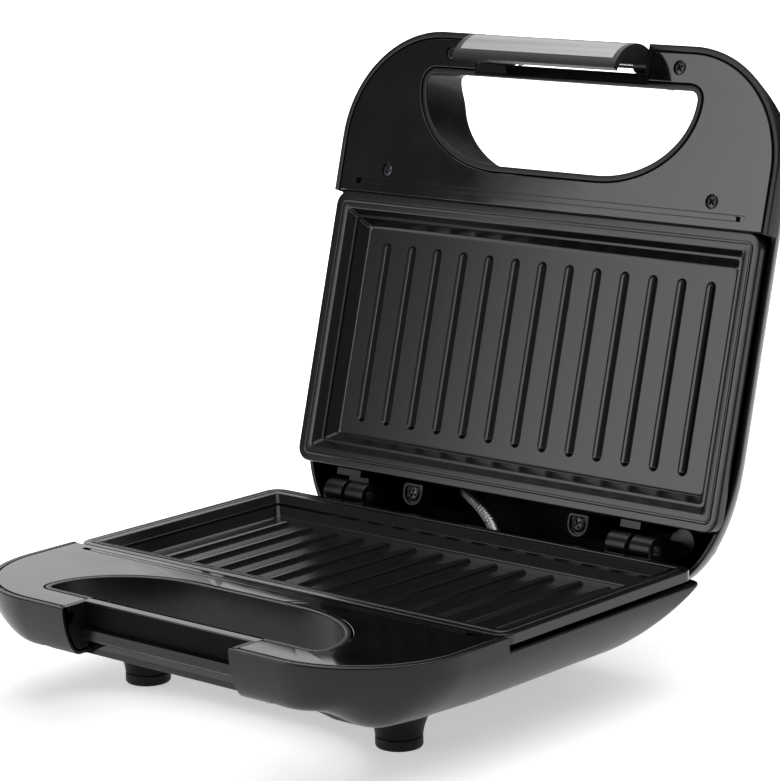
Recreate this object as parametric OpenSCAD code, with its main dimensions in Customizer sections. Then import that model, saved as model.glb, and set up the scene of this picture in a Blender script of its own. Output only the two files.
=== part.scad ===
// Sandwich toaster with two ribbed grill plates, a hinged lid and a spring latch.
// Millimetres. X runs to the right as seen from the handle, the handle points to -Y, Z is up.
// The origin is on the table, under the middle of the toaster with its lid open on the stop.
// Both halves are drawn about the parting plane, where the two plates meet, in plate
// coordinates: the plates' middle is at X 0, Y 0, and Z 0 is the parting plane.

/* [Casing] */
// Width of the casing beyond the plate at each side
side_land = 2.3; // [2.2:0.1:5]
// Wall thickness of both mouldings
wall = 2; // [1.6:0.1:2.2]
// Height of the parting plane above the table
table_drop = 47.3; // [44:0.1:56]
// Depth of the lower casing below the parting plane
lower_h = 27.5; // [27:0.1:29]
// Height of the lid above the parting plane
upper_h = 28.5; // [28:0.1:30]
// Gap between the rim of a casing and the parting plane, beside the plates
rim_drop = 5.8; // [5.4:0.1:6]
// Distance from the parting plane to the top of a handle
skin_gap = 0.4; // [0.3:0.05:0.6]
// Behind the plates, the lower casing ends this far from the plate edge
lower_tail = 2.5; // [2:0.1:3]
// Behind the plates, the lid reaches this far past the plate edge, round the hinge
upper_tail = 24.5; // [24:0.1:28]
// How far the curve under the lower casing's sides reaches inwards
lower_side_in = 22; // [20:0.1:24]
// How far the curve over the lid's sides reaches inwards
upper_side_in = 23.2; // [21:0.1:25]
// How far the curve under the lower casing's back reaches inwards
lower_back_in = 5; // [4:0.1:6]
// How far the curve over the lid's back reaches inwards
upper_back_in = 10.7; // [9:0.1:12]

/* [Handle] */
// Reach of both handles in front of the plate edge
handle_reach = 69.5; // [66:0.5:76]
// Corner radius of the handles in plan
handle_r = 46.2; // [44:0.1:48]
// Depth of the lower handle
lower_handle_h = 19.5; // [19:0.1:20.5]
// Height of the lid's handle
upper_handle_h = 20; // [19:0.1:22]
// Inward curve of the lower handle's front face
lower_nose = 8; // [7:0.1:9]
// Inward curve of the lid handle's front face
upper_nose = 14; // [13:0.1:15]
// Width of the hand-hole
hole_w = 135.4; // [124:0.2:138]
// Distance from the handle's front to the hand-hole
hole_front = 17.5; // [17:0.1:18]
// Depth of the hand-hole, front to back
hole_d = 35.8; // [32:0.1:38]
// Length of the straight part of the hand-hole's back edge
hole_flat = 50; // [30:1:60]
// Wall round the hand-hole, seen as a bright strip
hole_wall = 2.4; // [2.1:0.1:2.8]
// Width of the casing's strip round the cover panels
strip = 2.5; // [2.1:0.1:3.4]
// Open joint between the strip and the cover panel
cover_gap = 0.5; // [0.4:0.05:0.8]
// Thickness of the cover panels
cover_t = 2.5; // [2:0.1:3]
// Distance of the two front cover screws from the middle, sideways
screw_front_x = 57.3; // [54:0.1:62]
// Distance of the two rear cover screws from the middle, sideways
screw_rear_x = 81.8; // [78:0.1:86]
// Diameter of the cover screws' heads
screw_head_d = 5.2; // [4.4:0.1:5.6]

/* [Plates] */
// Width of a grill plate
plate_w = 214; // [208:0.5:214]
// Depth of a grill plate, front to back
plate_d = 115; // [112:0.5:120]
// Corner radius of a grill plate
plate_r = 6; // [5:0.1:8]
// Width of the plate's flat rim, to the edge of the well
rim_w = 7.1; // [6.4:0.1:8]
// Width of the sloping wall round the well
slope_w = 6.2; // [5:0.1:7]
// Depth of the well
well_h = 8.2; // [7:0.1:9]
// Thickness of the cast plate
plate_t = 3; // [2.5:0.1:3.4]
// Height of the plate's outer edge
plate_edge_h = 4.3; // [4:0.1:4.6]
// Number of grill ribs
rib_count = 13; // [9:1:13]
// Distance from one grill rib to the next
rib_pitch = 13.68; // [12:0.02:14]
// Width of a rib at its foot
rib_w = 3.8; // [3.2:0.1:5.4]
// Height of a rib
rib_h = 1.6; // [1.2:0.1:2.6]
// Length of a rib with its round ends
rib_len = 75.6; // [68:0.2:78]

/* [Hinge] */
// Distance of the hinge axis behind the plate edge
hinge_back = 10; // [9.5:0.1:11]
// Angle of the lid on its stop
lid_open = 105; // [90:1:108]
// Radius of the hinge knuckles
knuckle_r = 5.2; // [4.6:0.1:5.4]
// Width of a hinge knuckle
knuckle_w = 9.8; // [8:0.1:11]
// Gap between a fixed knuckle and the lid's knuckle
knuckle_gap = 1.6; // [0.6:0.1:2]
// Middle of the left hinge
hinge_left_x = -74; // [-78:0.5:-70]
// Middle of the right hinge
hinge_right_x = 71.5; // [66:0.5:78]
// Diameter of the hinge pins
pin_d = 4; // [3:0.1:5]

/* [Latch] */
// Width of the notch for the latch in both handles
notch_w = 82.8; // [78:0.2:86]
// Depth of the notch, from the handle's front
notch_d = 12; // [11.8:0.1:12.2]
// Outer radius of the latch's arch
latch_r = 16; // [15.8:0.1:16.2]
// Thickness of the silver clip cover
clip_t = 1.1; // [0.9:0.1:1.3]
// Thickness of the whole arch
arch_t = 3; // [2.8:0.1:3]
// Depth of the catch ledge below the parting plane
catch_drop = 9.8; // [9:0.1:10.5]

/* [Feet] */
// Distance of the front feet from the middle, sideways
front_foot_x = 63.4; // [58:0.2:66]
// Distance of the rear feet from the middle, sideways
rear_foot_x = 38; // [34:0.2:50]
// Distance of the front feet in front of the middle
front_foot_y = 63.2; // [60:0.2:66]
// Distance of the rear feet behind the middle
rear_foot_y = 45; // [43:0.2:46]
// Diameter of a foot
foot_d = 17.4; // [16:0.2:18]
// Thickness of a foot's rubber pad
foot_t = 4.2; // [3:0.1:5]

/* [Heating] */
// Diameter of the tubular heating element
tube_d = 6.5; // [6:0.1:7]
// Distance between the two legs of the heating element
tube_gap = 56; // [44:1:60]
// Length of the straight legs
tube_len = 112; // [100:1:122]
// Thickness of the heat reflector sheet
sheet_t = 0.6; // [0.5:0.1:0.8]
// Distance of the plate posts from the middle, sideways
post_x = 78; // [76:0.5:79]
// Distance of the plate posts from the plate's front and rear edges
post_inset = 23.5; // [22.5:0.5:24.5]

/* [Hidden] */

// Finish colours
casing_black = [0.16, 0.165, 0.17];
cover_black = [0.1, 0.1, 0.11];
plate_grey = [0.24, 0.24, 0.25];
clip_silver = [0.7, 0.71, 0.72];
steel = [0.66, 0.66, 0.68];
rubber = [0.09, 0.09, 0.1];

// Roundness of turned shapes
$fn = 64;
// Clearance between pieces that meet without a fit
play = 0.3;
// Running clearance on a pin's radius
run = 0.05;
// How far a cut runs past the face it opens
past = 1;

// Places worked out from the sizes above
side_x = plate_w / 2 + side_land;
front_y = -(plate_d / 2 + handle_reach);
step_y = -plate_d / 2 + 0.3;
lower_back_y = plate_d / 2 + lower_tail;
upper_back_y = plate_d / 2 + upper_tail;
hinge_y = plate_d / 2 + hinge_back;
notch_y = front_y + notch_d;
hole_y = front_y + hole_front;
ledge_z = -(skin_gap + cover_t);
floor_z = -(skin_gap + well_h + plate_t);
// The latch turns on this pin, in the lid's handle, and its arch is drawn about this centre
arch_y = front_y + 17;
arch_z = -4;
pivot_a = 126;
pivot_y = arch_y + latch_r * cos(pivot_a);
pivot_z = arch_z + latch_r * sin(pivot_a);
latch_pin_d = 3;
// Free space between the arch and the catch that it closes round
catch_clear = 0.6;
catch_r = latch_r - arch_t - catch_clear;

// A point on an elliptical quarter, i steps of n from angle a to angle b
function quarter(cx, cy, rx, ry, a, b, i, n) =
  [cx + rx * cos(a + (b - a) * i / n), cy + ry * sin(a + (b - a) * i / n)];

// Shape of a casing: [0 depth under the handle, 1 depth under the plate, 2 back edge, 3 and 4
// the back corner's radii at the rim, 5 and 6 the same at the bottom, 7 curve of the body's
// sides, 8 of the back, 9 of the front, 10 of the handle's sides, 11 growth of the handle's
// corner radius towards the bottom, 12 how full the curves are]
rim_corner = 6;
lower_form = [lower_handle_h, lower_h, lower_back_y, rim_corner, rim_corner, 70, 50,
  lower_side_in, lower_back_in, lower_nose, 26, 0, 0.85];
upper_form = [upper_handle_h, upper_h, upper_back_y, 30, 54, 31, 46,
  upper_side_in, upper_back_in, upper_nose, 30, 10, 0.7];

// Right half of a casing's outline, front to back, drawn in by ih at the handle's side, iy at
// the front, ix at the body's side and ib at the back, at the share s of the way to the bottom.
// The two points at the step are where the handle ends.
corner_n = 9;
function half_outline(t, ih, iy, ix, ib, s) =
  let (hr = handle_r + t[11] * s, fx = max(hr - ih, 1), fy = max(hr - iy, 1))
  let (bx = max(t[3] + (t[5] - t[3]) * s - ix, 1), by = max(t[4] + (t[6] - t[4]) * s - ib, 1))
  let (back_y = t[2])
  concat(
    [for (i = [0:corner_n]) quarter(side_x - ih - fx, front_y + iy + fy, fx, fy, -90, 0, i, corner_n)],
    [[side_x - ix, step_y - 0.2], [side_x - ix, step_y + 0.2]],
    [for (i = [0:corner_n]) quarter(side_x - ix - bx, back_y - ib - by, bx, by, 0, 90, i, corner_n)]
  );
half_n = 2 * corner_n + 4;
function is_handle(i) = i <= corner_n + 1;

// Depth of a casing's underside at y: shallow under the handle, deep under the plate
ramp_from = 10;
ramp_to = 28;
function smooth(t) = let (u = min(max(t, 0), 1)) u * u * (3 - 2 * u);
function belly(y, handle_h, body_h) =
  handle_h + (body_h - handle_h) * smooth((y - front_y - ramp_from) / (ramp_to - ramp_from));

// Depth at y where the upright wall ends and the curve under it starts
handle_wall = 1.2;
body_wall = rim_drop + 1;
function wall_end(y) =
  handle_wall + (body_wall - handle_wall) * smooth((y - front_y - ramp_from) / (ramp_to - ramp_from));
// Share of the inward curve that is reached at angle a
function bend(t, a) = pow(1 - cos(a), t[12]);

// One ring of a casing's face at angle a along the curve from the wall to the underside. The
// outer face has w = 0, the inner face lies w further in.
function curve_ring(t, a, w) =
  let (u = bend(t, a))
  [for (p = half_outline(t, w + (t[10] - w) * u, w + (t[9] - w) * u, w + (t[7] - w) * u,
      w + (t[8] - w) * u, sin(a)))
    let (from = wall_end(p[1]))
    [p[0], p[1], -(from + (belly(p[1], t[0], t[1]) - w - from) * sin(a))]];
// A level ring: inset and height at the handle, then at the plate
function level_ring(t, in_h, z_h, in_b, z_b) =
  let (h = half_outline(t, in_h, in_h, in_h, in_h, 0))
  let (b = half_outline(t, in_b, in_b, in_b, in_b, 0))
  [for (i = [0:half_n - 1]) is_handle(i) ? [h[i][0], h[i][1], z_h] : [b[i][0], b[i][1], z_b]];

// All rings of a hollow casing: up the outside, over the rim and down the inside
curve_n = 7;
inner_from = 20;
function casing_rings(t) = concat(
  [for (k = [curve_n:-1:0]) curve_ring(t, 90 * k / curve_n, 0)],
  [
    level_ring(t, 0, -skin_gap, 0, -rim_drop),
    level_ring(t, strip, -skin_gap, wall, -rim_drop),
    level_ring(t, strip, ledge_z, wall, -rim_drop - 0.2),
    level_ring(t, strip + 3, ledge_z, wall, -rim_drop - 0.4),
    level_ring(t, strip + 3, ledge_z - 2, wall, -rim_drop - 0.6)
  ],
  [for (k = [0:curve_n]) curve_ring(t, inner_from + (90 - inner_from) * k / curve_n, wall)]
);

// A hollow half casing as one closed mesh
module casing(t) {
  rings = casing_rings(t);
  n = 2 * half_n;
  count = len(rings);
  points = [for (r = rings) each concat(r, [for (i = [half_n - 1:-1:0]) [-r[i][0], r[i][1], r[i][2]]])];
  last = (count - 1) * n;
  walls = [for (j = [0:count - 2], i = [0:n - 1])
    let (a = j * n + i, b = j * n + (i + 1) % n)
    each [[a, a + n, b + n], [a, b + n, b]]];
  under = [for (i = [0:half_n - 2]) [i, i + 1, n - 2 - i, n - 1 - i]];
  inside = [for (q = under) [last + q[3], last + q[2], last + q[1], last + q[0]]];
  polyhedron(points, concat(walls, under, inside), convexity = 8);
}

// The open lid's furthest point back decides where the middle of the footprint is
lid_back_y = max([for (k = [0:curve_n]) each
  [for (p = curve_ring(upper_form, 90 * k / curve_n, 0))
    hinge_y + (p[1] - hinge_y) * cos(lid_open) - p[2] * sin(lid_open)]]);
middle_y = (front_y + lid_back_y) / 2;

// Whole outline of a casing's top, drawn in by d, as a flat shape
module outline_2d(t, d) {
  h = half_outline(t, d, d, d, d, 0);
  polygon(concat(h, [for (i = [half_n - 1:-1:0]) [-h[i][0], h[i][1]]]));
}

// Hand-hole as a flat shape, grown by g: a straight front edge and a bow-shaped back
hole_tip_r = 3.6;
module hole_2d(g) {
  hw = hole_w / 2 + g;
  rx = (hole_w - hole_flat) / 2 + g;
  ry = hole_d - hole_tip_r + g;
  base_y = hole_y + hole_tip_r;
  tip = hole_tip_r + g;
  n = 10;
  right = concat(
    [for (i = [0:4]) quarter(hw - tip, base_y, tip, tip, -90, 0, i, 4)],
    [for (i = [1:n]) quarter(hw - rx, base_y, rx, ry, 0, 90, i, n)]
  );
  polygon(concat(right, [for (i = [len(right) - 1:-1:0]) [-right[i][0], right[i][1]]]));
}

// Everything lower than a line d above the underside, as a prism across the whole width
module below_belly(t, d) {
  ys = [for (i = [0:12]) front_y - 5 + (ramp_to + 60) * i / 12];
  cut = concat(
    [for (y = ys) [y, -belly(y, t[0], t[1]) + d]],
    [[ys[12], -table_drop], [ys[0], -table_drop]]
  );
  rotate([90, 0, 90])
    translate([0, 0, -side_x])
      linear_extrude(2 * side_x) polygon(cut);
}

// Section of the handle's front, as seen from the side, drawn in by d
cheek_end = 0.4;
function nose_section(t, d) = concat(
  [[front_y + d, -skin_gap]],
  [for (k = [0:curve_n])
    let (a = 90 * k / curve_n)
    [front_y + d + (t[9] - d) * bend(t, a), -(handle_wall + (t[0] - d - handle_wall) * sin(a))]],
  [[notch_y + cheek_end, -(t[0] - d)], [notch_y + cheek_end, -skin_gap]]
);
// Section of the casing across its width, drawn in by d
function side_section(t, d) =
  let (right = [for (k = [0:curve_n])
    let (a = 90 * k / curve_n)
    [side_x - d - (t[7] - d) * bend(t, a), -(body_wall + (t[1] - d - body_wall) * sin(a))]])
  concat([[side_x - d, ledge_z]], right, [for (i = [curve_n:-1:0]) [-right[i][0], right[i][1]]],
    [[-side_x + d, ledge_z]]);

// Cheek plates at both ends of the latch notch
module notch_cheeks(t) {
  for (side = [-1, 1])
    translate([side * (notch_w / 2 + wall / 2), 0, 0])
      rotate([90, 0, 90])
        translate([0, 0, -wall / 2])
          linear_extrude(wall) polygon(nose_section(t, wall / 2));
}

// Wall between the handle and the plate, which also carries the cover panel's back edge
cross_t = 6;
module cross_wall(t) {
  translate([0, step_y - 0.6, 0])
    rotate([90, 0, 0])
      linear_extrude(cross_t) polygon(side_section(t, wall * 0.8));
}

// Places of the four cover screws and of the four plate posts
screw_front_y = front_y + 8.7;
screw_rear_y = step_y - 10.6;
screw_spots = [[-screw_front_x, screw_front_y], [screw_front_x, screw_front_y],
  [-screw_rear_x, screw_rear_y], [screw_rear_x, screw_rear_y]];
post_y = plate_d / 2 - post_inset;
post_spots = [for (x = [-post_x, post_x], y = [-post_y, post_y]) [x, y]];
screw_bore = 3;
screw_boss_d = 7.6;
post_r = 5;
post_bore = 4.2;
screw_seat = 6;

// Solid bar of the handle between the latch's notch and the hand-hole
bar_foot = 1.3;
bar_reach = 1.1;
module handle_bar(t) {
  translate([-notch_w / 2 - bar_reach, notch_y, -t[0] + bar_foot])
    cube([notch_w + 2 * bar_reach, hole_front - notch_d + past, t[0] - bar_foot - skin_gap]);
}

// Body shared by both halves: shell, hand-hole wall, bar, cheeks, cover ledge and plate posts
module half_casing(t) {
  difference() {
    union() {
      casing(t);
      difference() {
        translate([0, 0, -t[1]]) linear_extrude(t[1] - skin_gap) hole_2d(hole_wall);
        below_belly(t, wall / 2);
      }
      handle_bar(t);
      notch_cheeks(t);
      cross_wall(t);
      for (p = post_spots)
        translate([p[0], p[1], -t[1] + wall / 2])
          cylinder(h = t[1] - wall / 2 + floor_z, r = post_r);
    }
    translate([0, 0, -t[1] - past]) linear_extrude(t[1] + 2 * past) hole_2d(0);
    for (p = post_spots) {
      translate([p[0], p[1], -t[1] - past]) cylinder(h = t[1] + 2 * past + floor_z, d = post_bore);
      translate([p[0], p[1], -t[1] - past]) cylinder(h = screw_seat + past, d = 8);
    }
  }
}

// Glossy cover panel of a handle, flush with the strip round it
channel_x = 97.5;
channel_w = 2.2;
module cover_panel(t) {
  difference() {
    translate([0, 0, ledge_z])
      linear_extrude(cover_t)
        difference() {
          intersection() {
            outline_2d(t, strip + cover_gap);
            translate([-side_x, front_y]) square([2 * side_x, step_y - 0.7 - front_y]);
          }
          hole_2d(hole_wall + cover_gap);
          translate([-notch_w / 2 - wall - play, front_y])
            square([notch_w + 2 * (wall + play), hole_front + past]);
        }
    translate([-channel_x, step_y - 3.2 - channel_w, -skin_gap - 1.2])
      cube([2 * channel_x, channel_w, 2]);
  }
}

// Screw bosses of the lid's cover, which is screwed on from its glossy side. The front ones end
// in the curved front wall.
head_h = 1.5;
thread_len = 8;
function boss_depth(p) =
  p[1] < hole_y ? upper_handle_h * 0.6 : belly(p[1], upper_handle_h, upper_h) - wall * 0.75;
module cover_bosses() {
  for (p = screw_spots)
    translate([p[0], p[1], -boss_depth(p)])
      cylinder(h = boss_depth(p) + ledge_z, d = screw_boss_d);
}
module cover_boss_bores() {
  for (p = screw_spots)
    translate([p[0], p[1], ledge_z - thread_len - 1]) cylinder(h = thread_len + 2, d = screw_bore);
}
module pierced_cover(t) {
  difference() {
    cover_panel(t);
    for (p = screw_spots) {
      translate([p[0], p[1], ledge_z - past]) cylinder(h = cover_t + 2 * past, d = screw_bore + 0.4);
      translate([p[0], p[1], -skin_gap - head_h]) cylinder(h = head_h + past, d = screw_head_d + 1.8);
    }
  }
}

// Cross recess of a screw head, sunk by d into the face at z 0
module cross_recess(w, d) {
  for (turn = [0, 90])
    rotate(turn) translate([-w / 2, -w * 0.12, -d]) cube([w, w * 0.24, d + past]);
}
module cover_screws() {
  for (p = screw_spots)
    translate([p[0], p[1], -skin_gap - play])
      difference() {
        union() {
          translate([0, 0, play - head_h]) cylinder(h = head_h - play, d = screw_head_d);
          translate([0, 0, ledge_z - thread_len])
            cylinder(h = thread_len - ledge_z - head_h + 2 * play, d = screw_bore - 2 * run);
        }
        cross_recess(3, 0.7);
      }
}

// The lower cover is held from below: studs on its underside take the screws
stud_d = 6;
stud_h = 7;
under_seat = 5;
module studded_cover(t) {
  cover_panel(t);
  for (p = screw_spots)
    translate([p[0], p[1], ledge_z - stud_h])
      difference() {
        cylinder(h = stud_h + cover_t / 2, d = stud_d);
        translate([0, 0, -past]) cylinder(h = stud_h + past, d = screw_bore);
      }
}
module under_bosses(t) {
  for (p = screw_spots) {
    d = belly(p[1], t[0], t[1]);
    translate([p[0], p[1], -d + wall * 0.95])
      cylinder(h = d - wall * 0.95 + ledge_z - stud_h, d = screw_boss_d);
  }
}
module under_boss_bores(t) {
  for (p = screw_spots)
    translate([p[0], p[1], -belly(p[1], t[0], t[1])]) {
      translate([0, 0, -past]) cylinder(h = under_seat + past, d = screw_head_d + 0.8);
      cylinder(h = lower_h, d = screw_bore + 0.4);
    }
  for (p = screw_spots)
    translate([p[0], p[1], ledge_z - stud_h]) cylinder(h = stud_h + past, d = stud_d + 0.4);
}
module under_screws(t) {
  for (p = screw_spots)
    translate([p[0], p[1], -belly(p[1], t[0], t[1]) + under_seat])
      difference() {
        union() {
          translate([0, 0, -head_h]) cylinder(h = head_h, d = screw_head_d);
          cylinder(h = belly(p[1], t[0], t[1]) - under_seat + ledge_z - 1, d = screw_bore - 2 * run);
        }
        translate([0, 0, -head_h]) mirror([0, 0, 1]) cross_recess(3, 0.7);
      }
}

// Flat rectangle with round corners, drawn in by d
module plate_2d(d) {
  r = max(plate_r - d, 1.5);
  w = plate_w - 2 * d;
  h = plate_d - 2 * d;
  square([w - 2 * r, h], center = true);
  square([w, h - 2 * r], center = true);
  for (x = [-1, 1], y = [-1, 1])
    translate([x * (w / 2 - r), y * (h / 2 - r)]) circle(r);
}

// One grill rib: a bevelled bar with round ends, standing on the floor of the well
module grill_rib() {
  crown_w = rib_w * 0.5;
  run_y = rib_len / 2 - rib_w / 2;
  rotate([90, 0, 0])
    translate([0, 0, -run_y])
      linear_extrude(2 * run_y)
        polygon([[-rib_w / 2, 0], [rib_w / 2, 0], [crown_w / 2, rib_h], [-crown_w / 2, rib_h]]);
  for (side = [-1, 1])
    translate([0, side * run_y, 0]) cylinder(h = rib_h, d1 = rib_w, d2 = crown_w);
}

// Grill plate with its face at the parting plane: flat rim with a bead, sloping well, ribs
bead_in = 3.3;
bead_w = 1.1;
bead_h = 0.25;
post_h = 4;
module grill_plate() {
  well_floor = -skin_gap - well_h;
  difference() {
    union() {
      translate([0, 0, -skin_gap - plate_edge_h]) linear_extrude(plate_edge_h) plate_2d(0);
      translate([0, 0, floor_z]) linear_extrude(well_h) plate_2d(rim_w + slope_w - plate_t);
      translate([0, 0, -skin_gap - 0.01])
        linear_extrude(bead_h)
          difference() {
            plate_2d(bead_in);
            plate_2d(bead_in + bead_w);
          }
    }
    hull() {
      translate([0, 0, -skin_gap]) linear_extrude(past) plate_2d(rim_w);
      translate([0, 0, well_floor]) linear_extrude(0.1) plate_2d(rim_w + slope_w);
    }
    translate([0, 0, floor_z - past])
      linear_extrude(well_h + past - 2)
        difference() {
          plate_2d(plate_t);
          plate_2d(rim_w + slope_w - plate_t);
        }
    for (p = post_spots)
      translate([p[0], p[1], floor_z - past]) cylinder(h = plate_t - 0.8 + past, d = post_bore - 0.3);
  }
  for (i = [0:rib_count - 1])
    translate([(i - (rib_count - 1) / 2) * rib_pitch, 0, well_floor - 0.01]) grill_rib();
}

// Screws that draw a plate down on its posts, driven from outside the casing
module plate_screws(t) {
  for (p = post_spots)
    translate([p[0], p[1], -t[1] + screw_seat - 2.4])
      difference() {
        union() {
          cylinder(h = 2.4, d = 7);
          cylinder(h = t[1] - screw_seat + 2.4 + floor_z + 2, d = post_bore - 0.3 - 2 * run);
        }
        for (turn = [0, 90])
          rotate(turn) translate([-1.8, -0.45, -past]) cube([3.6, 0.9, past + 1.2]);
      }
}

// U-shaped tubular heating element under the plate, with its two cold ends turned down
element_z = floor_z - tube_d / 2 - 0.02;
module heating_element() {
  for (side = [-1, 1]) {
    translate([-tube_len / 2, side * tube_gap / 2, element_z])
      rotate([0, 90, 0]) cylinder(h = tube_len, d = tube_d);
    translate([-tube_len / 2 - 12, side * tube_gap / 2, element_z])
      rotate([0, 90, 0]) cylinder(h = 12.5, d = 3);
  }
  translate([tube_len / 2, 0, element_z])
    rotate(-90) rotate_extrude(angle = 180) translate([tube_gap / 2, 0]) circle(d = tube_d);
}

// Folded sheet tray under the heating element, pierced for the plate posts
tray_rim = 2.5;
tray_w = tube_len + tube_gap + tube_d + 2 * tray_rim;
tray_d = plate_d - 27;
tray_z = element_z - tube_d / 2 - 1.2;
module heat_reflector() {
  difference() {
    translate([-tray_w / 2, -tray_d / 2, tray_z - sheet_t]) cube([tray_w, tray_d, 5]);
    translate([-tray_w / 2 + sheet_t, -tray_d / 2 + sheet_t, tray_z])
      cube([tray_w - 2 * sheet_t, tray_d - 2 * sheet_t, 6]);
    for (p = post_spots)
      translate([p[0], p[1], tray_z - sheet_t - past]) cylinder(h = 8, r = post_r + 0.4);
  }
}

// Ribs on the casing floor that carry the reflector tray
tray_rib_len = tray_d - 24;
module tray_ribs(t) {
  h = t[1] - wall / 2 + tray_z - sheet_t;
  for (x = [-60, 0, 60])
    translate([x - 1, -tray_rib_len / 2, -t[1] + wall / 2]) cube([2, tray_rib_len, h]);
}

// Leg of the casing, flared where it grows out of the underside
front_leg_flare = 8.5;
rear_leg_flare = 3;
pad_stud_d = 6;
module leg(leg_flare) {
  h = table_drop - foot_t - lower_h + wall;
  end_z = -table_drop + foot_t;
  flare = [for (k = [0:8]) [foot_d / 2 + leg_flare * pow(k / 8, 1.6), h * k / 8]];
  difference() {
    translate([0, 0, end_z])
      rotate_extrude() polygon(concat([[0, 0]], flare, [[0, h]]));
    translate([0, 0, end_z - past]) cylinder(h = 5 + past, d = pad_stud_d + 2 * run);
  }
}

foot_spots = [[-front_foot_x, -front_foot_y], [front_foot_x, -front_foot_y],
  [-rear_foot_x, rear_foot_y], [rear_foot_x, rear_foot_y]];

// Rubber pad on the end of a leg, with a stud that plugs into it
module foot_pad(x, y) {
  round_r = 1;
  translate([x, y, -table_drop])
    rotate_extrude()
      polygon([[0, 0], [foot_d / 2 - round_r, 0], [foot_d / 2 - round_r * 0.3, round_r * 0.3],
        [foot_d / 2, round_r], [foot_d / 2, foot_t], [pad_stud_d / 2, foot_t],
        [pad_stud_d / 2, foot_t + 4.6], [0, foot_t + 4.6]]);
}

hinge_spots = [hinge_left_x, hinge_right_x];
fixed_knuckle_x = -knuckle_w - knuckle_gap / 2;
lid_knuckle_x = knuckle_gap / 2;

// Fixed knuckles on arms that stand behind the lower casing's back wall
module fixed_knuckles() {
  for (x = hinge_spots)
    translate([x + fixed_knuckle_x, 0, 0]) {
      translate([0, hinge_y, 0]) rotate([0, 90, 0]) cylinder(h = knuckle_w, r = knuckle_r);
      rotate([90, 0, 90])
        linear_extrude(knuckle_w)
          polygon([[lower_back_y - 1, -rim_drop - 12], [lower_back_y - 1, -rim_drop],
            [hinge_y - knuckle_r + 0.6, -2], [hinge_y, -knuckle_r * 0.5], [hinge_y - 1, -knuckle_r]]);
    }
}

// Rear wall boss for the mains inlet
inlet_x = -38;
inlet_z = -17;
inlet_bore = 12;
inlet_face_y = lower_back_y + 1;
module inlet_boss() {
  translate([inlet_x, lower_back_y - 8, inlet_z])
    rotate([-90, 0, 0]) cylinder(h = inlet_face_y - lower_back_y + 8, r = inlet_bore / 2 + 3);
}

sleeve_d = 5;
sleeve_points = [
  [4, 58, -12], [4, 62, -12], [3.6, 66, -10.6], [1.8, 69.4, -6.6],
  [-3, 72, -2.2], [-9, 74.4, 1.2], [-15, 76.8, 3.6], [-21, 79.6, 5], [-25, 83, 5.2]
];

module lower_housing() {
  color(casing_black)
    difference() {
      union() {
        difference() {
          half_casing(lower_form);
          notch_cut();
        }
        catch_ledge();
        under_bosses(lower_form);
        tray_ribs(lower_form);
        fixed_knuckles();
        inlet_boss();
        for (p = foot_spots) translate([p[0], p[1], 0]) leg(p[1] < 0 ? front_leg_flare : rear_leg_flare);
      }
      for (x = hinge_spots)
        translate([x - 30, hinge_y, 0]) rotate([0, 90, 0]) cylinder(h = 60, d = pin_d + 2 * run);
      translate([inlet_x, lower_back_y - 8 - past, inlet_z])
        rotate([-90, 0, 0]) cylinder(h = 20, d = inlet_bore + 2 * run);
      translate([sleeve_points[0][0], lower_back_y - 8, sleeve_points[0][2]])
        rotate([-90, 0, 0]) cylinder(h = 20, d = sleeve_d + 1);
      under_boss_bores(lower_form);
    }
}

// Space that the latch needs in the lower handle, round the arch
notch_back = 1.8;
module notch_cut() {
  difference() {
    translate([-notch_w / 2, front_y - past, -lower_h])
      cube([notch_w, notch_d + past + notch_back, lower_h - catch_drop]);
    translate([-notch_w / 2 - past, arch_y, arch_z])
      rotate([0, 90, 0]) cylinder(h = notch_w + 2 * past, r = catch_r);
  }
  translate([-notch_w / 2, front_y - past, -catch_drop - past])
    cube([notch_w, notch_d + past, catch_drop + 2 * past]);
}

// Rounded catch under the notch, which the hook grips from below
module catch_ledge() {
  intersection() {
    translate([-notch_w / 2 - 1, arch_y, arch_z])
      rotate([0, 90, 0]) cylinder(h = notch_w + 2, r = catch_r);
    translate([-notch_w / 2 - 1, notch_y - 3, -lower_handle_h])
      cube([notch_w + 2, 3 + hole_front - notch_d - 0.6, lower_handle_h - catch_drop]);
  }
}

// Turns a piece of the lid from its closed place to its place on the open stop
module opened() {
  translate([0, hinge_y, 0])
    rotate([-lid_open, 0, 0])
      translate([0, -hinge_y, 0]) children();
}
// Lid pieces that mirror the base's are drawn upside down about the parting plane
module upside_down() {
  mirror([0, 0, 1]) children();
}

// Arms that hang from the lid's inside and end in its knuckles
module lid_knuckles() {
  for (x = hinge_spots)
    translate([x + lid_knuckle_x, 0, 0]) {
      translate([0, hinge_y, 0]) rotate([0, 90, 0]) cylinder(h = knuckle_w, r = knuckle_r);
      translate([0, hinge_y - knuckle_r, 0]) cube([knuckle_w, 2 * knuckle_r, upper_h - 1.2 * wall]);
    }
}

// Flat lugs beside the hinges that keep the plate's back edge in place
lug_t = 2.8;
lug_lift = 0.8;
lug_spans = [[-83.8, 12.7], [62.7, 9.4]];
module plate_lugs() {
  for (s = lug_spans)
    translate([s[0], plate_d / 2 + play, lug_lift]) cube([s[1], lug_t, upper_h - wall - lug_lift + 0.6]);
}

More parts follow.
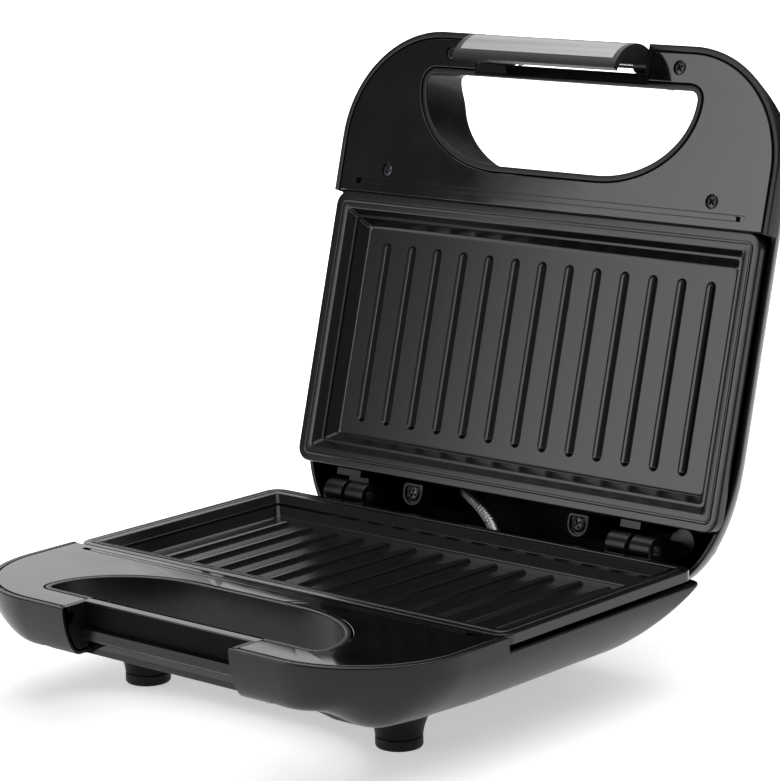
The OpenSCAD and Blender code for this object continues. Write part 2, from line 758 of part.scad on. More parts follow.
// Bosses with a U-shaped mouth beside the hinges
boss_x = 42.3;
boss_r = 5.2;
boss_y = plate_d / 2 + boss_r + play;
boss_mouth = 1;
module hinge_bosses() {
  for (side = [-1, 1])
    translate([side * boss_x, boss_y, boss_mouth])
      difference() {
        union() {
          cylinder(h = upper_h - wall - boss_mouth + 0.6, r = boss_r);
          translate([-boss_r, -boss_r + 1, 0]) cube([2 * boss_r, boss_r, upper_h - wall - boss_mouth + 0.6]);
        }
        translate([0, 0, -past]) cylinder(h = 6 + past, r = boss_r - 1.4);
        translate([0, 0, -past]) cylinder(h = 14 + past, d = screw_bore);
      }
}

// Pegs on the lid's outside, on which the toaster stands upright when stored
peg_x = 83;
peg_y = plate_d / 2 + 6;
peg_rise = 4.5;
peg_root = 14;
module storage_pegs() {
  for (side = [-1, 1])
    translate([side * peg_x, peg_y, upper_h - peg_root]) cylinder(h = peg_rise + peg_root, d1 = 12, d2 = 9);
}

lamp_x = 8;
lamp_y = -42;
lamp_d = 6;
module upper_housing() {
  color(casing_black)
    opened()
      difference() {
        union() {
          difference() {
            upside_down() half_casing(upper_form);
            translate([-notch_w / 2, front_y - past, -past])
              cube([notch_w, notch_d + past, upper_h + 2 * past]);
          }
          upside_down() tray_ribs(upper_form);
          upside_down() cover_bosses();
          lid_knuckles();
          plate_lugs();
          hinge_bosses();
          storage_pegs();
        }
        for (x = hinge_spots)
          translate([x - 30, hinge_y, 0]) rotate([0, 90, 0]) cylinder(h = 60, d = pin_d + 2 * run);
        translate([-notch_w / 2 - 4, pivot_y, pivot_z])
          rotate([0, 90, 0]) cylinder(h = notch_w + 8, d = latch_pin_d + 2 * run);
        upside_down() cover_boss_bores();
        for (side = [-1, 1])
          translate([side * lamp_x, lamp_y, upper_h - 8]) cylinder(h = 10, d = lamp_d + 2 * play);
      }
}

module lower_handle_cover() {
  color(cover_black) studded_cover(lower_form);
}
module lower_cover_screws() {
  color(steel) under_screws(lower_form);
}
module lower_plate() {
  color(plate_grey) grill_plate();
}
module lower_plate_screws() {
  color(steel) plate_screws(lower_form);
}
module lower_heating_element() {
  color(steel) heating_element();
}
module lower_heat_reflector() {
  color(steel) heat_reflector();
}
module upper_handle_cover() {
  color(cover_black) opened() upside_down() pierced_cover(upper_form);
}
module upper_cover_screws() {
  color(steel) opened() upside_down() cover_screws();
}
module upper_plate() {
  color(plate_grey) opened() upside_down() grill_plate();
}
module upper_plate_screws() {
  color(steel) opened() upside_down() plate_screws(upper_form);
}
module upper_heating_element() {
  color(steel) opened() upside_down() heating_element();
}
module upper_heat_reflector() {
  color(steel) opened() upside_down() heat_reflector();
}

// Bimetal thermostat pressed against the plate's underside, with its two tabs
module thermostat() {
  color("gainsboro")
    translate([20, 0, floor_z - 5.6]) {
      cylinder(h = 5.6, d = 14);
      for (side = [-1, 1]) translate([side * 9 - 3, -2, 1]) cube([6, 4, 0.8]);
    }
}

// Thermal fuse capsule in its holder, against the plate's underside
module thermal_fuse() {
  color("silver")
    translate([-32, 0, floor_z - 2.4]) {
      rotate([0, 90, 0]) cylinder(h = 14, d = 4.4, center = true);
      translate([-4, -3, 0]) cube([8, 6, 2.4]);
    }
}

// Terminal block on the casing floor behind the reflector
block_back = 12.4;
module terminal_block() {
  color("ivory")
    translate([-10, plate_d / 2 - block_back, -lower_h + wall])
      difference() {
        cube([20, 9, 8.5]);
        for (x = [5, 15]) translate([x, 4.5, 4]) cylinder(h = 6, d = 3.6);
      }
}

// Rubber bushing in the back wall, through which the mains lead would pass
module cord_inlet_bushing() {
  color(rubber)
    translate([inlet_x, lower_back_y - 8, inlet_z])
      rotate([-90, 0, 0])
        difference() {
          union() {
            cylinder(h = inlet_face_y - lower_back_y + 8 + 1, d = inlet_bore);
            translate([0, 0, inlet_face_y - lower_back_y + 8]) cylinder(h = 2, d = inlet_bore + 4);
          }
          translate([0, 0, -past]) cylinder(h = 20, d = 6.6);
        }
}

module hinge_pins() {
  color(steel)
    for (x = hinge_spots)
      translate([x - knuckle_w - knuckle_gap / 2 - 0.4, hinge_y, 0])
        rotate([0, 90, 0]) cylinder(h = 2 * knuckle_w + knuckle_gap + 0.8, d = pin_d);
}

// Rings of a round tube of diameter d swept along a route, square to it at every point
function unit(v) = v / norm(v);
function heading(p, i) = unit(p[min(i + 1, len(p) - 1)] - p[max(i - 1, 0)]);
function sweep_ring(p, i, r, n) =
  let (f = heading(p, i), s = unit(cross(f, [1, 0.2, 0])), w = cross(f, s))
  [for (k = [0:n - 1]) p[i] + r * (cos(360 * k / n) * s + sin(360 * k / n) * w)];
module swept_tube(p, d, n) {
  m = len(p);
  points = [for (i = [0:m - 1]) each sweep_ring(p, i, d / 2, n)];
  walls = [for (i = [0:m - 2], k = [0:n - 1])
    let (a = i * n + k, b = i * n + (k + 1) % n)
    each [[a, a + n, b + n], [a, b + n, b]]];
  polyhedron(points, concat(walls, [[for (k = [0:n - 1]) k]],
    [[for (k = [n - 1:-1:0]) (m - 1) * n + k]]), convexity = 4);
}

// Sleeve that carries the leads from the lower casing into the lid
module lead_sleeve() {
  color(clip_silver) swept_tube(sleeve_points, sleeve_d, 12);
}

// Cross-head screws deep in the hinge bosses
module hinge_boss_screws() {
  color(steel)
    opened()
      for (side = [-1, 1])
        translate([side * boss_x, boss_y, boss_mouth + 3.6])
          difference() {
            union() {
              cylinder(h = 2.4, r = boss_r - 2);
              cylinder(h = 9, d = screw_bore - 2 * run);
            }
            for (turn = [0, 90])
              rotate(turn) translate([-1.6, -0.4, -past]) cube([3.2, 0.8, past + 1]);
          }
}

// Indicator lamp lens in the lid, with the flange that holds it from inside
lamp_flange_z = upper_h - wall - 1.2;
module lamp_lens(x) {
  opened()
    translate([x, lamp_y, 0]) {
      translate([0, 0, lamp_flange_z]) cylinder(h = 1.2, d = lamp_d + 3);
      translate([0, 0, lamp_flange_z]) cylinder(h = wall + 1.2 + 0.5, d = lamp_d);
    }
}
module power_lamp() {
  color("firebrick") lamp_lens(-lamp_x);
}
module ready_lamp() {
  color("seagreen") lamp_lens(lamp_x);
}
board_margin = 10;
board_w = 2 * (lamp_x + board_margin);
board_d = 2 * lamp_d;
board_t = 1.6;
module lamp_board() {
  color("darkgreen")
    opened()
      translate([-board_w / 2, lamp_y - board_d / 2, lamp_flange_z - board_t]) cube([board_w, board_d, board_t]);
}

// Carries a profile in radius and X round the latch's centre, from angle a to angle b
module arch_sweep(a, b) {
  translate([0, arch_y, arch_z])
    rotate([0, 90, 0])
      rotate(a + 90) rotate_extrude(angle = b - a) children();
}

clip_half = 38.2;
cheek_out = notch_w / 2 - 0.8;
arch_from = pivot_a + 10;
tip_a = 252;
lip_a = tip_a - 5;
hook_knuckle_r = 3.4;
hook_knuckle_len = 10;
hook_proud = 0.2;
cheek_in = cheek_out - hook_knuckle_len - 3;
arch_in = latch_r - arch_t;
clip_in = latch_r - clip_t;
module latch_clip_cover() {
  color(clip_silver)
    opened() arch_sweep(arch_from, lip_a) translate([clip_in, -clip_half]) square([clip_t, 2 * clip_half]);
}
module latch_hook() {
  color(casing_black)
    opened()
      difference() {
        union() {
          arch_sweep(pivot_a, tip_a) translate([arch_in, -cheek_out]) square([arch_t, 2 * cheek_out]);
          for (x = [-cheek_out - hook_proud, cheek_out + hook_proud - hook_knuckle_len])
            translate([x, pivot_y, pivot_z])
              rotate([0, 90, 0]) cylinder(h = hook_knuckle_len, r = hook_knuckle_r);
        }
        arch_sweep(pivot_a - 30, arch_from)
          translate([arch_in - 1, -cheek_in]) square([arch_t + 2, 2 * cheek_in]);
        arch_sweep(arch_from - 2, lip_a)
          translate([clip_in, -clip_half]) square([clip_t + 1, 2 * clip_half]);
        translate([-notch_w, pivot_y, pivot_z])
          rotate([0, 90, 0]) cylinder(h = 2 * notch_w, d = latch_pin_d + 2 * run);
      }
}
module latch_pin() {
  color(steel)
    opened()
      translate([-notch_w / 2 - wall + 0.2, pivot_y, pivot_z])
        rotate([0, 90, 0]) cylinder(h = notch_w + 2 * wall - 0.4, d = latch_pin_d);
}

// Torsion spring on the latch pin, wound as one wire. Its first leg leans on the lid's handle
// and its last leg on the inside of the arch.
spring_turns = 5;
spring_wire = 1;
spring_pitch = 1.6;
spring_r = latch_pin_d / 2 + spring_wire / 2 + run;
spring_x = -24;
spring_steps = 12;
spring_n = spring_turns * spring_steps;
first_leg = [0, notch_y - spring_wire / 2 - run - pivot_y, -5];
leg_r = latch_r - arch_t - spring_wire / 2 - play;
function leg_point(a, r) = [spring_pitch * spring_turns, arch_y + r * cos(a) - pivot_y,
  arch_z + r * sin(a) - pivot_z];
last_leg = [leg_point(pivot_a + 8, leg_r - play), leg_point(pivot_a + 24, leg_r)];
spring_route = concat([first_leg],
  [for (i = [0:spring_n])
    let (a = 360 * i / spring_steps)
    [spring_pitch * i / spring_steps, spring_r * cos(a), spring_r * sin(a)]],
  last_leg);
// Least free space between two turns of the wire
spring_gap = min([for (i = [1:spring_n], j = [i + spring_steps / 2:1:spring_n + 1])
  norm(spring_route[i] - spring_route[j])]) - spring_wire;
echo(spring_gap = spring_gap);
module latch_spring() {
  color(steel)
    opened() translate([spring_x, pivot_y, pivot_z]) swept_tube(spring_route, spring_wire, 6);
}

module front_left_foot() {
  color(rubber) foot_pad(-front_foot_x, -front_foot_y);
}
module front_right_foot() {
  color(rubber) foot_pad(front_foot_x, -front_foot_y);
}
module rear_left_foot() {
  color(rubber) foot_pad(-rear_foot_x, rear_foot_y);
}
module rear_right_foot() {
  color(rubber) foot_pad(rear_foot_x, rear_foot_y);
}

// Puts the whole toaster on the table with the origin under its middle
module placed() {
  translate([0, -middle_y, table_drop]) children();
}

placed() lower_housing();
placed() lower_handle_cover();
placed() lower_cover_screws();
placed() lower_plate();
placed() lower_plate_screws();
placed() lower_heating_element();
placed() lower_heat_reflector();
placed() thermostat();
placed() thermal_fuse();
placed() terminal_block();
placed() cord_inlet_bushing();
placed() hinge_pins();
placed() front_left_foot();
placed() front_right_foot();
placed() rear_left_foot();
placed() rear_right_foot();
placed() lead_sleeve();
placed() upper_housing();
placed() upper_handle_cover();
placed() upper_cover_screws();
placed() upper_plate();
placed() upper_plate_screws();
placed() upper_heating_element();
placed() upper_heat_reflector();
placed() hinge_boss_screws();
placed() power_lamp();
placed() ready_lamp();
placed() lamp_board();
placed() latch_clip_cover();
placed() latch_hook();
placed() latch_pin();
placed() latch_spring();
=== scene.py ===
# %% [markdown]
# # A sandwich toaster with its lid open
# The toaster is two shallow dark mouldings joined by a hinge. Each holds a ribbed grill plate
# and ends in a handle with a D-shaped hand-hole and a glossy cover. This lesson dresses the
# engineering model: every part stands where the frame says, in metres, and the pieces made here
# are surfaces worked out with numpy in the same places.

# %% The frame and the size of the engineering model
import math
import bpy
import numpy as np
from mathutils import Matrix


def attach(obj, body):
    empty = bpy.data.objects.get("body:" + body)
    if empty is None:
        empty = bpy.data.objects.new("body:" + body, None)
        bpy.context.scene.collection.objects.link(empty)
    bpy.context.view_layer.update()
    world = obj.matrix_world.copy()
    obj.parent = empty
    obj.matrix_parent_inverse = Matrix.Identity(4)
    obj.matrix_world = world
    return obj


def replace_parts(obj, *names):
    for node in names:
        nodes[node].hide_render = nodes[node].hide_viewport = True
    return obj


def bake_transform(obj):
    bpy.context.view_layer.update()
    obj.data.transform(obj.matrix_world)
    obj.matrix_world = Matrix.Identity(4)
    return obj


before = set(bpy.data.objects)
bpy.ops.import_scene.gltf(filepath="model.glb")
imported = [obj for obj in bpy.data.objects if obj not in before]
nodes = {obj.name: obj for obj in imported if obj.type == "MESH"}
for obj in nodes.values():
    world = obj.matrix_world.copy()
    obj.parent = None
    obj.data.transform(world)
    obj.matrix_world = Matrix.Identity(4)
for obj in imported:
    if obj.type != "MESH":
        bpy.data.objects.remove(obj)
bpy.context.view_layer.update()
print("parts in the frame:", len(nodes))

# %% [markdown]
# The sizes below repeat those of the engineering model, in millimetres. They are written about
# the parting plane, where the two plates meet: X to the right, the handle at -Y, Z up, with the
# plates' middle at the origin. Two small functions carry a point from there to the table.

# %% Sizes shared by the pieces
side_x, front_y, step_y, hinge_y = 109.3, -127.0, -57.2, 67.5
middle_y, table_drop, lid_open = 5.54674, 47.3, 105.0
rim_drop, skin_gap, wall, strip = 5.8, 0.4, 2.0, 2.5
handle_r, notch_w, notch_y = 46.2, 82.8, -115.0
hole_y, hole_w, hole_d, hole_flat, hole_tip, hole_wall = -109.5, 135.4, 35.8, 50.0, 3.6, 2.4
cover_gap, cover_t, ledge_z = 0.5, 2.5, -2.9
lower = dict(hh=19.5, bh=27.5, back=60.0, rim=(6, 6), foot=(70, 50), side=22.0, tail=5.0,
             nose=8.0, grip=26.0, grow=0.0, full=0.85)
upper = dict(hh=20.0, bh=28.5, back=82.0, rim=(30, 54), foot=(31, 46), side=23.2, tail=10.7,
             nose=14.0, grip=30.0, grow=10.0, full=0.7)


def on_table(p):
    """Plate coordinates in millimetres to the frame in metres."""
    return (p + np.array([0.0, -middle_y, table_drop])) * 0.001


def on_lid(p):
    """A point drawn on the closed lid, turned back about the hinge to the open stop."""
    a = math.radians(-lid_open)
    y, z = p[..., 1] - hinge_y, p[..., 2]
    turned = [p[..., 0], hinge_y + y * math.cos(a) - z * math.sin(a),
              y * math.sin(a) + z * math.cos(a)]
    return on_table(np.stack(turned, axis=-1))


# %% [markdown]
# ## Camera
# The camera stands in front and to the right of the toaster, a little above it. Its place and
# turn were worked out from the straight edges of the plates, so a long lens at this spot gives
# the same perspective as the photograph.

# %% Camera at the photograph's angle
right = (0.75802986, 0.65205194, -0.01479853)
down = (0.12117462, -0.16309104, -0.97914147)
ahead = (-0.64086461, 0.74042527, -0.20264003)
camera = bpy.data.objects.new("camera", bpy.data.cameras.new("camera"))
bpy.context.scene.collection.objects.link(camera)
turn = np.column_stack([right, -np.array(down), -np.array(ahead)])
matrix = np.eye(4)
matrix[:3, :3] = turn
matrix[:3, 3] = (0.737808, -0.850105, 0.343133)
camera.matrix_world = Matrix(matrix.tolist())
camera.data.sensor_fit = "HORIZONTAL"
camera.data.sensor_width = 36.0
camera.data.lens = 139.515
bpy.context.scene.camera = camera
print("camera", [round(v, 3) for v in camera.location])

# %% [markdown]
# ## Room and light
# Small dark appliances are photographed in a white tent. The floor and a wall behind are white,
# and a glossy cover that mirrors them turns light grey. A broad lamp overhead makes the soft
# shadow under the toaster. The room in front stays dim, because the lid's cover and plate mirror
# it. Only a tall softbox glows there, and it fades to nothing towards the left.


# %% Helpers that colour and build materials
def ink(code):
    """An sRGB hex colour as linear red, green, blue and alpha."""
    c = np.array([int(code[i:i + 2], 16) for i in (1, 3, 5)]) / 255.0
    lin = np.where(c <= 0.04045, c / 12.92, ((c + 0.055) / 1.055) ** 2.4)
    return (*lin.tolist(), 1.0)


def add(tree, kind, links=(), **settings):
    """Adds a node. A setting is one of its own properties, or else the value of a socket."""
    n = tree.nodes.new(kind)
    for key, value in settings.items():
        name = key.replace("_", " ")
        if hasattr(n, key):
            setattr(n, key, value)
        else:
            socket = next(s for s in n.inputs if s.name.lower() == name.lower() and s.enabled)
            socket.default_value = value
    for source, target in links:
        tree.links.new(source, n.inputs[target])
    return n


def new_material(name, **surface):
    """A material with an empty tree but for the Principled surface and its output."""
    m = bpy.data.materials.new(name)
    m.use_nodes = True
    m.node_tree.nodes.clear()
    body = add(m.node_tree, "ShaderNodeBsdfPrincipled", **surface)
    add(m.node_tree, "ShaderNodeOutputMaterial", [(body.outputs[0], "Surface")])
    return m, m.node_tree, body


def grain(tree, scale_mm, detail=2.0):
    """Noise on the piece's own coordinates, with features of the given size."""
    place = add(tree, "ShaderNodeTexCoord")
    return add(tree, "ShaderNodeTexNoise", [(place.outputs["Object"], "Vector")],
               Scale=1000.0 / scale_mm, Detail=detail)


def ramp(tree, source, stops):
    """Turns a 0 to 1 pattern into colours or numbers, between the stops given."""
    r = add(tree, "ShaderNodeValToRGB", [(source, "Fac")])
    for i, (at, value) in enumerate(stops):
        e = r.color_ramp.elements[i] if i < 2 else r.color_ramp.elements.new(at)
        e.position = at
        e.color = value if isinstance(value, tuple) else (value, value, value, 1.0)
    return r


def relief(tree, body, source, depth_mm, strength=1.0):
    """Lets a pattern raise and sink the surface by about depth_mm."""
    b = add(tree, "ShaderNodeBump", [(source, "Height")], Distance=depth_mm * 0.001,
            Strength=strength)
    tree.links.new(b.outputs[0], body.inputs["Normal"])


# %% The white floor and the wall behind
def sheet_of(name, points, material):
    """One flat four-sided sheet of the room, which is not part of the toaster."""
    mesh = bpy.data.meshes.new(name)
    mesh.from_pydata(points, [], [(0, 1, 2, 3)])
    obj = bpy.data.objects.new(name, mesh)
    bpy.context.scene.collection.objects.link(obj)
    mesh.materials.append(material)


full_glow = 4.0


def glowing(name, paint, stops, along=(1, 0, 0), low=-1.0, high=1.0):
    """Paper that glows: its strength follows stops along a direction, from low to high."""
    m, tree, body = new_material(name, Base_Color=ink(paint), Roughness=0.9)
    body.inputs["Emission Color"].default_value = (1, 1, 1, 1)
    place = add(tree, "ShaderNodeTexCoord")
    way = add(tree, "ShaderNodeVectorMath", [(place.outputs["Object"], 0)],
              operation="DOT_PRODUCT")
    way.inputs[1].default_value = along
    share = add(tree, "ShaderNodeMapRange", [(way.outputs["Value"], "Value")],
                From_Min=low, From_Max=high)
    fade = ramp(tree, share.outputs[0], [(at, value / full_glow) for at, value in stops])
    bright = add(tree, "ShaderNodeMath", [(fade.outputs["Color"], 0)], operation="MULTIPLY")
    bright.inputs[1].default_value = full_glow
    tree.links.new(bright.outputs[0], body.inputs["Emission Strength"])
    fibre = grain(tree, 2.0)
    relief(tree, body, fibre.outputs["Fac"], 0.02, 0.2)
    return m


# The floor glows more towards the left, and the wall is a low white strip with a board over it
# whose right part is dark. Polished black plastic shows these as light and dark areas.
floor_glow = glowing("white paper floor", "#f4f4f4", [(0.0, 1.5), (0.55, 1.4), (0.92, 0.5)],
                     (1, 0, 0), -1.0, 0.0)
strip_glow = glowing("white paper wall", "#f4f4f4", [(0.0, 1.1), (1.0, 1.1)])
board_glow = glowing("lit black card", "#0a0a0a", [(0.0, 1.35), (0.42, 1.35), (0.5, 0.04)],
                     (1, 0, -1.5), -3.6, -2.5)
box_glow = glowing("front softbox cloth", "#0a0a0a", [(0.0, 0.0), (0.3, 2.9), (1.0, 4.2)],
                   (1, 0, 0), -1.42, -0.8)
sheet_of("floor", [(-3, -3, 0), (3, -3, 0), (3, 3, 0), (-3, 3, 0)], floor_glow)
sheet_of("wall_behind", [(-3, 1.5, 0), (1.2, 2.9, 0), (1.2, 2.9, 0.2), (-3, 1.5, 0.2)], strip_glow)
sheet_of("board_behind", [(-3, 1.5, 0.2), (1.2, 2.9, 0.2), (1.2, 2.9, 2.2), (-3, 1.5, 2.2)],
         board_glow)
sheet_of("front_softbox", [(-0.75, -1.5, 0.03), (-1.42, -1.5, 0.03), (-1.42, -1.5, 1.2),
                           (-0.75, -1.5, 1.2)], box_glow)


# %% Lamps
def lamp(name, place, aim, size, watts):
    """A rectangular soft lamp at a place, turned to aim at a point."""
    data = bpy.data.lights.new(name, "AREA")
    data.shape = "RECTANGLE"
    data.size, data.size_y = size
    data.energy = watts
    obj = bpy.data.objects.new(name, data)
    bpy.context.scene.collection.objects.link(obj)
    back = np.array(place, float) - np.array(aim, float)
    back /= np.linalg.norm(back)
    side = np.cross((0, 0, 1.0), back)
    side = side / np.linalg.norm(side) if np.linalg.norm(side) > 1e-6 else np.array((1.0, 0, 0))
    m = np.eye(4)
    m[:3, 0], m[:3, 1], m[:3, 2], m[:3, 3] = side, np.cross(back, side), back, place
    obj.matrix_world = Matrix(m.tolist())


lamp("overhead", (0.1, 0.25, 1.2), (0, 0, 0), (2.0, 2.0), 22)
world = bpy.data.worlds.new("dim room")
bpy.context.scene.world = world
world.use_nodes = True
world.node_tree.nodes["Background"].inputs[0].default_value = (1, 1, 1, 1)
world.node_tree.nodes["Background"].inputs[1].default_value = 0.2
bpy.context.scene.view_settings.view_transform = "Standard"

# %% [markdown]
# ## Finishes
# Each material is named for what the real one is and how its surface was made. The comment says
# what that gives the eye. Patterns are worked out from sizes in millimetres.


# %% Moulded plastics
def moulded_plastic(name, colour, roughness, texture_mm, depth_mm, shine=0.5):
    """Plastic from a polished or spark-eroded mould: a fine even grain, a faint cloudiness."""
    m, tree, body = new_material(name, Roughness=roughness, IOR=1.5)
    cloud = grain(tree, 18.0, 3.0)
    tint = ramp(tree, cloud.outputs["Fac"], [(0.3, ink(colour[0])), (0.7, ink(colour[1]))])
    tree.links.new(tint.outputs["Color"], body.inputs["Base Color"])
    worn = ramp(tree, cloud.outputs["Fac"], [(0.25, roughness - 0.04), (0.75, roughness + 0.05)])
    tree.links.new(worn.outputs["Color"], body.inputs["Roughness"])
    pits = grain(tree, texture_mm, 2.0)
    relief(tree, body, pits.outputs["Fac"], depth_mm)
    body.inputs["Specular IOR Level"].default_value = shine
    return m


# Satin grain of a spark-eroded mould: no sharp mirror image, a broad soft sheen on the curves.
satin_black = moulded_plastic("spark eroded phenolic", ("#0c0c0d", "#101011"), 0.27, 0.7, 0.005,
                              0.3)
# Polished mould: the cover mirrors the room, with waves a few centimetres long.
gloss_black = moulded_plastic("polished ABS", ("#070708", "#0a0a0b"), 0.07, 28.0, 0.02)
# Glass-filled nylon: a matt dark grey, lighter than the casing, so the hook shows as a band.
hook_black = moulded_plastic("moulded nylon", ("#1d1d1f", "#242426"), 0.36, 0.8, 0.01)
# Rubber from an etched mould swallows most light and stays the blackest thing in the picture.
rubber_black = moulded_plastic("moulded rubber", ("#0a0a0b", "#0f0f10"), 0.5, 0.6, 0.02, 0.2)
# The legs are textured more deeply, so they stay darker than the casing round them.
leg_black = moulded_plastic("coarse eroded phenolic", ("#0b0b0c", "#0f0f10"), 0.45, 0.9, 0.01,
                            0.12)
# Painted shade: a darker, duller copy of the casing black, for the notch's lining and the shell's
# inside faces, where shade falls.
painted_shade_black = moulded_plastic("painted shade phenolic", ("#08080a", "#0b0b0c"), 0.5, 0.9, 0.01, 0.05)
print("plastics ready")


# %% Metals and coatings
def bare_metal(name, colour, roughness, grit_mm, depth_mm, along=(1.0, 1.0, 1.0)):
    """Metal with rolling or drawing marks: noise drawn out along one direction."""
    m, tree, body = new_material(name, Base_Color=ink(colour), Metallic=1.0, Roughness=roughness)
    place = add(tree, "ShaderNodeTexCoord")
    turned = add(tree, "ShaderNodeMapping", [(place.outputs["Object"], "Vector")], Scale=along)
    marks = add(tree, "ShaderNodeTexNoise", [(turned.outputs[0], "Vector")],
                Scale=1000.0 / grit_mm, Detail=2.0)
    rub = ramp(tree, marks.outputs["Fac"], [(0.3, roughness - 0.05), (0.7, roughness + 0.07)])
    tree.links.new(rub.outputs["Color"], body.inputs["Roughness"])
    relief(tree, body, marks.outputs["Fac"], depth_mm)
    return m


# Fluoropolymer coating on cast aluminium: dark, slightly silky, with the sparkle of fine flakes.
nonstick, tree, body = new_material("fluoropolymer on cast aluminium", Roughness=0.17, IOR=1.45)
flakes = grain(tree, 0.5, 1.0)
fleck = ramp(tree, flakes.outputs["Fac"], [(0.42, ink("#0e0e0f")), (0.62, ink("#161617"))])
tree.links.new(fleck.outputs["Color"], body.inputs["Base Color"])
cast = grain(tree, 1.6, 3.0)
relief(tree, body, cast.outputs["Fac"], 0.008)

# Metallised and brushed along the handle: the light spreads across the arch, not along it.
silver = bare_metal("satin metallised clip", "#9c9c9e", 0.34, 1.2, 0.004, (0.02, 1.0, 1.0))
# Bright zinc for pins, spring and inner screws, duller scale on the heater tube, and rolled
# sheet with long faint lines under it.
steel = bare_metal("zinc plated steel", "#b9bbbe", 0.28, 1.0, 0.008)
element_steel = bare_metal("stainless heater tube", "#8c8780", 0.4, 1.4, 0.01)
reflector = bare_metal("aluminised sheet", "#c9cacc", 0.33, 2.0, 0.01, (1.0, 0.1, 1.0))
# Glaze, epoxy and clear styrene: smooth surfaces whose colour sits under a sharp highlight.
ceramic = moulded_plastic("glazed steatite", ("#dcd8cc", "#e6e2d8"), 0.3, 1.0, 0.01)
board_green = moulded_plastic("glass epoxy board", ("#1d4a2c", "#23553a"), 0.35, 1.2, 0.01)
red_lens = moulded_plastic("clear red styrene", ("#7c1412", "#8c1a16"), 0.12, 3.0, 0.01)
green_lens = moulded_plastic("clear green styrene", ("#1c6a34", "#217a3c"), 0.12, 3.0, 0.01)
print("metals and coatings ready")

# %% Every part of the engineering model gets its finish
finish = {
    satin_black: ["lower_housing", "upper_housing"],
    gloss_black: ["lower_handle_cover", "upper_handle_cover"],
    nonstick: ["lower_plate", "upper_plate"],
    hook_black: ["latch_hook"],
    rubber_black: ["cord_inlet_bushing", "front_left_foot", "front_right_foot", "rear_left_foot",
                   "rear_right_foot"],
    silver: ["latch_clip_cover", "lead_sleeve"],
    steel: ["lower_cover_screws", "lower_plate_screws", "thermostat", "thermal_fuse", "hinge_pins",
            "upper_cover_screws", "upper_plate_screws", "hinge_boss_screws", "latch_pin",
            "latch_spring"],
    element_steel: ["lower_heating_element", "upper_heating_element"],
    reflector: ["lower_heat_reflector", "upper_heat_reflector"],
    ceramic: ["terminal_block"],
    red_lens: ["power_lamp"],
    green_lens: ["ready_lamp"],
    board_green: ["lamp_board"],
}
for material, names in finish.items():
    for name in names:
        nodes[name].data.materials.clear()
        nodes[name].data.materials.append(material)
dressed = {n for names in finish.values() for n in names}
print("parts without a finish:", sorted(set(nodes) - dressed))

# %% [markdown]
# ## Tools for numpy surfaces
# A shape is a grid of points: rows along one parameter, columns along the other. Joining
# neighbours with four-sided faces gives the surface. A closed surface has a volume whose sign
# tells whether its faces look outwards, so a shape that comes out inside out is turned round.


# %% Grids, faces and finished pieces
def grid_faces(rows, cols, closed_rows=False, closed_cols=False):
    """Four-sided faces between neighbours of a rows by cols grid, wrapped where it is closed."""
    i = np.arange(rows if closed_rows else rows - 1)[:, None]
    j = np.arange(cols if closed_cols else cols - 1)[None, :]
    a = i * cols + j
    b = i * cols + (j + 1) % cols
    c = ((i + 1) % rows) * cols + (j + 1) % cols
    d = ((i + 1) % rows) * cols + j
    return np.stack([a, b, c, d], axis=-1).reshape(-1, 4).tolist()


def tube(points):
    """A grid whose rows are closed rings, as one shape: its points and faces, ends closed."""
    rows, cols = points.shape[:2]
    faces = grid_faces(rows, cols, closed_cols=True)
    faces += [list(range(cols))[::-1], list(range((rows - 1) * cols, rows * cols))]
    return points.reshape(-1, 3), faces


def ring_of_rings(points):
    """A grid closed both ways, like a tyre."""
    rows, cols = points.shape[:2]
    return points.reshape(-1, 3), grid_faces(rows, cols, True, True)


def outwards(shape):
    """Turns all faces round if the volume that they close comes out negative."""
    points, faces = shape
    fans = [(f[0], f[k], f[k + 1]) for f in faces for k in range(1, len(f) - 1)]
    t = points[np.array(fans)]
    volume = np.einsum("ij,ij->i", t[:, 0], np.cross(t[:, 1], t[:, 2])).sum() / 6.0
    return points, ([f[::-1] for f in faces] if volume < 0 else faces)


def moved(shape, x, y):
    """The shape carried sideways."""
    return shape[0] + np.array([x, y, 0.0]), shape[1]


def applied(obj):
    """Makes the mesh that the modifiers give the piece's own, and returns it."""
    graph = bpy.context.evaluated_depsgraph_get()
    mesh = bpy.data.meshes.new_from_object(obj.evaluated_get(graph))
    obj.modifiers.clear()
    obj.data = mesh
    return mesh


def settle(obj):
    """Weights the shading by the size of the faces, so that flat faces look flat to their edges."""
    obj.modifiers.new("flat", "WEIGHTED_NORMAL").keep_sharp = True
    applied(obj)


smooth_limit = 32.0


def piece(name, shapes, place, material, part, smooth_to=smooth_limit):
    """Joins closed shapes into one mesh, puts it in its place and lets it ride on a body."""
    points, faces, count = [], [], 0
    for shape in shapes:
        p, f = outwards((place(np.asarray(shape[0], float)), shape[1]))
        points.append(p)
        faces += [[v + count for v in face] for face in f]
        count += len(p)
    mesh = bpy.data.meshes.new(name)
    mesh.from_pydata(np.concatenate(points).tolist(), [], faces)
    mesh.materials.append(material)
    mesh.shade_smooth()
    mesh.set_sharp_from_angle(angle=math.radians(smooth_to))
    obj = bpy.data.objects.new(name, mesh)
    bpy.context.scene.collection.objects.link(obj)
    if part:
        settle(obj)
        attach(obj, part)
    print(name, len(mesh.polygons), "faces")
    return obj


def carve(obj, *cutters, width=0.0):
    """Takes the cutters' volumes out of a piece, and rounds its sharp edges by width mm."""
    for cutter in cutters:
        m = obj.modifiers.new("carve", "BOOLEAN")
        m.operation, m.solver, m.object = "DIFFERENCE", "EXACT", cutter
    if width:
        b = obj.modifiers.new("edge", "BEVEL")
        b.width, b.segments, b.limit_method = width * 0.001, 2, "ANGLE"
        b.angle_limit = math.radians(40)
    mesh = applied(obj)
    if not width:
        mesh.shade_smooth()
        mesh.set_sharp_from_angle(angle=math.radians(smooth_limit))
    settle(obj)


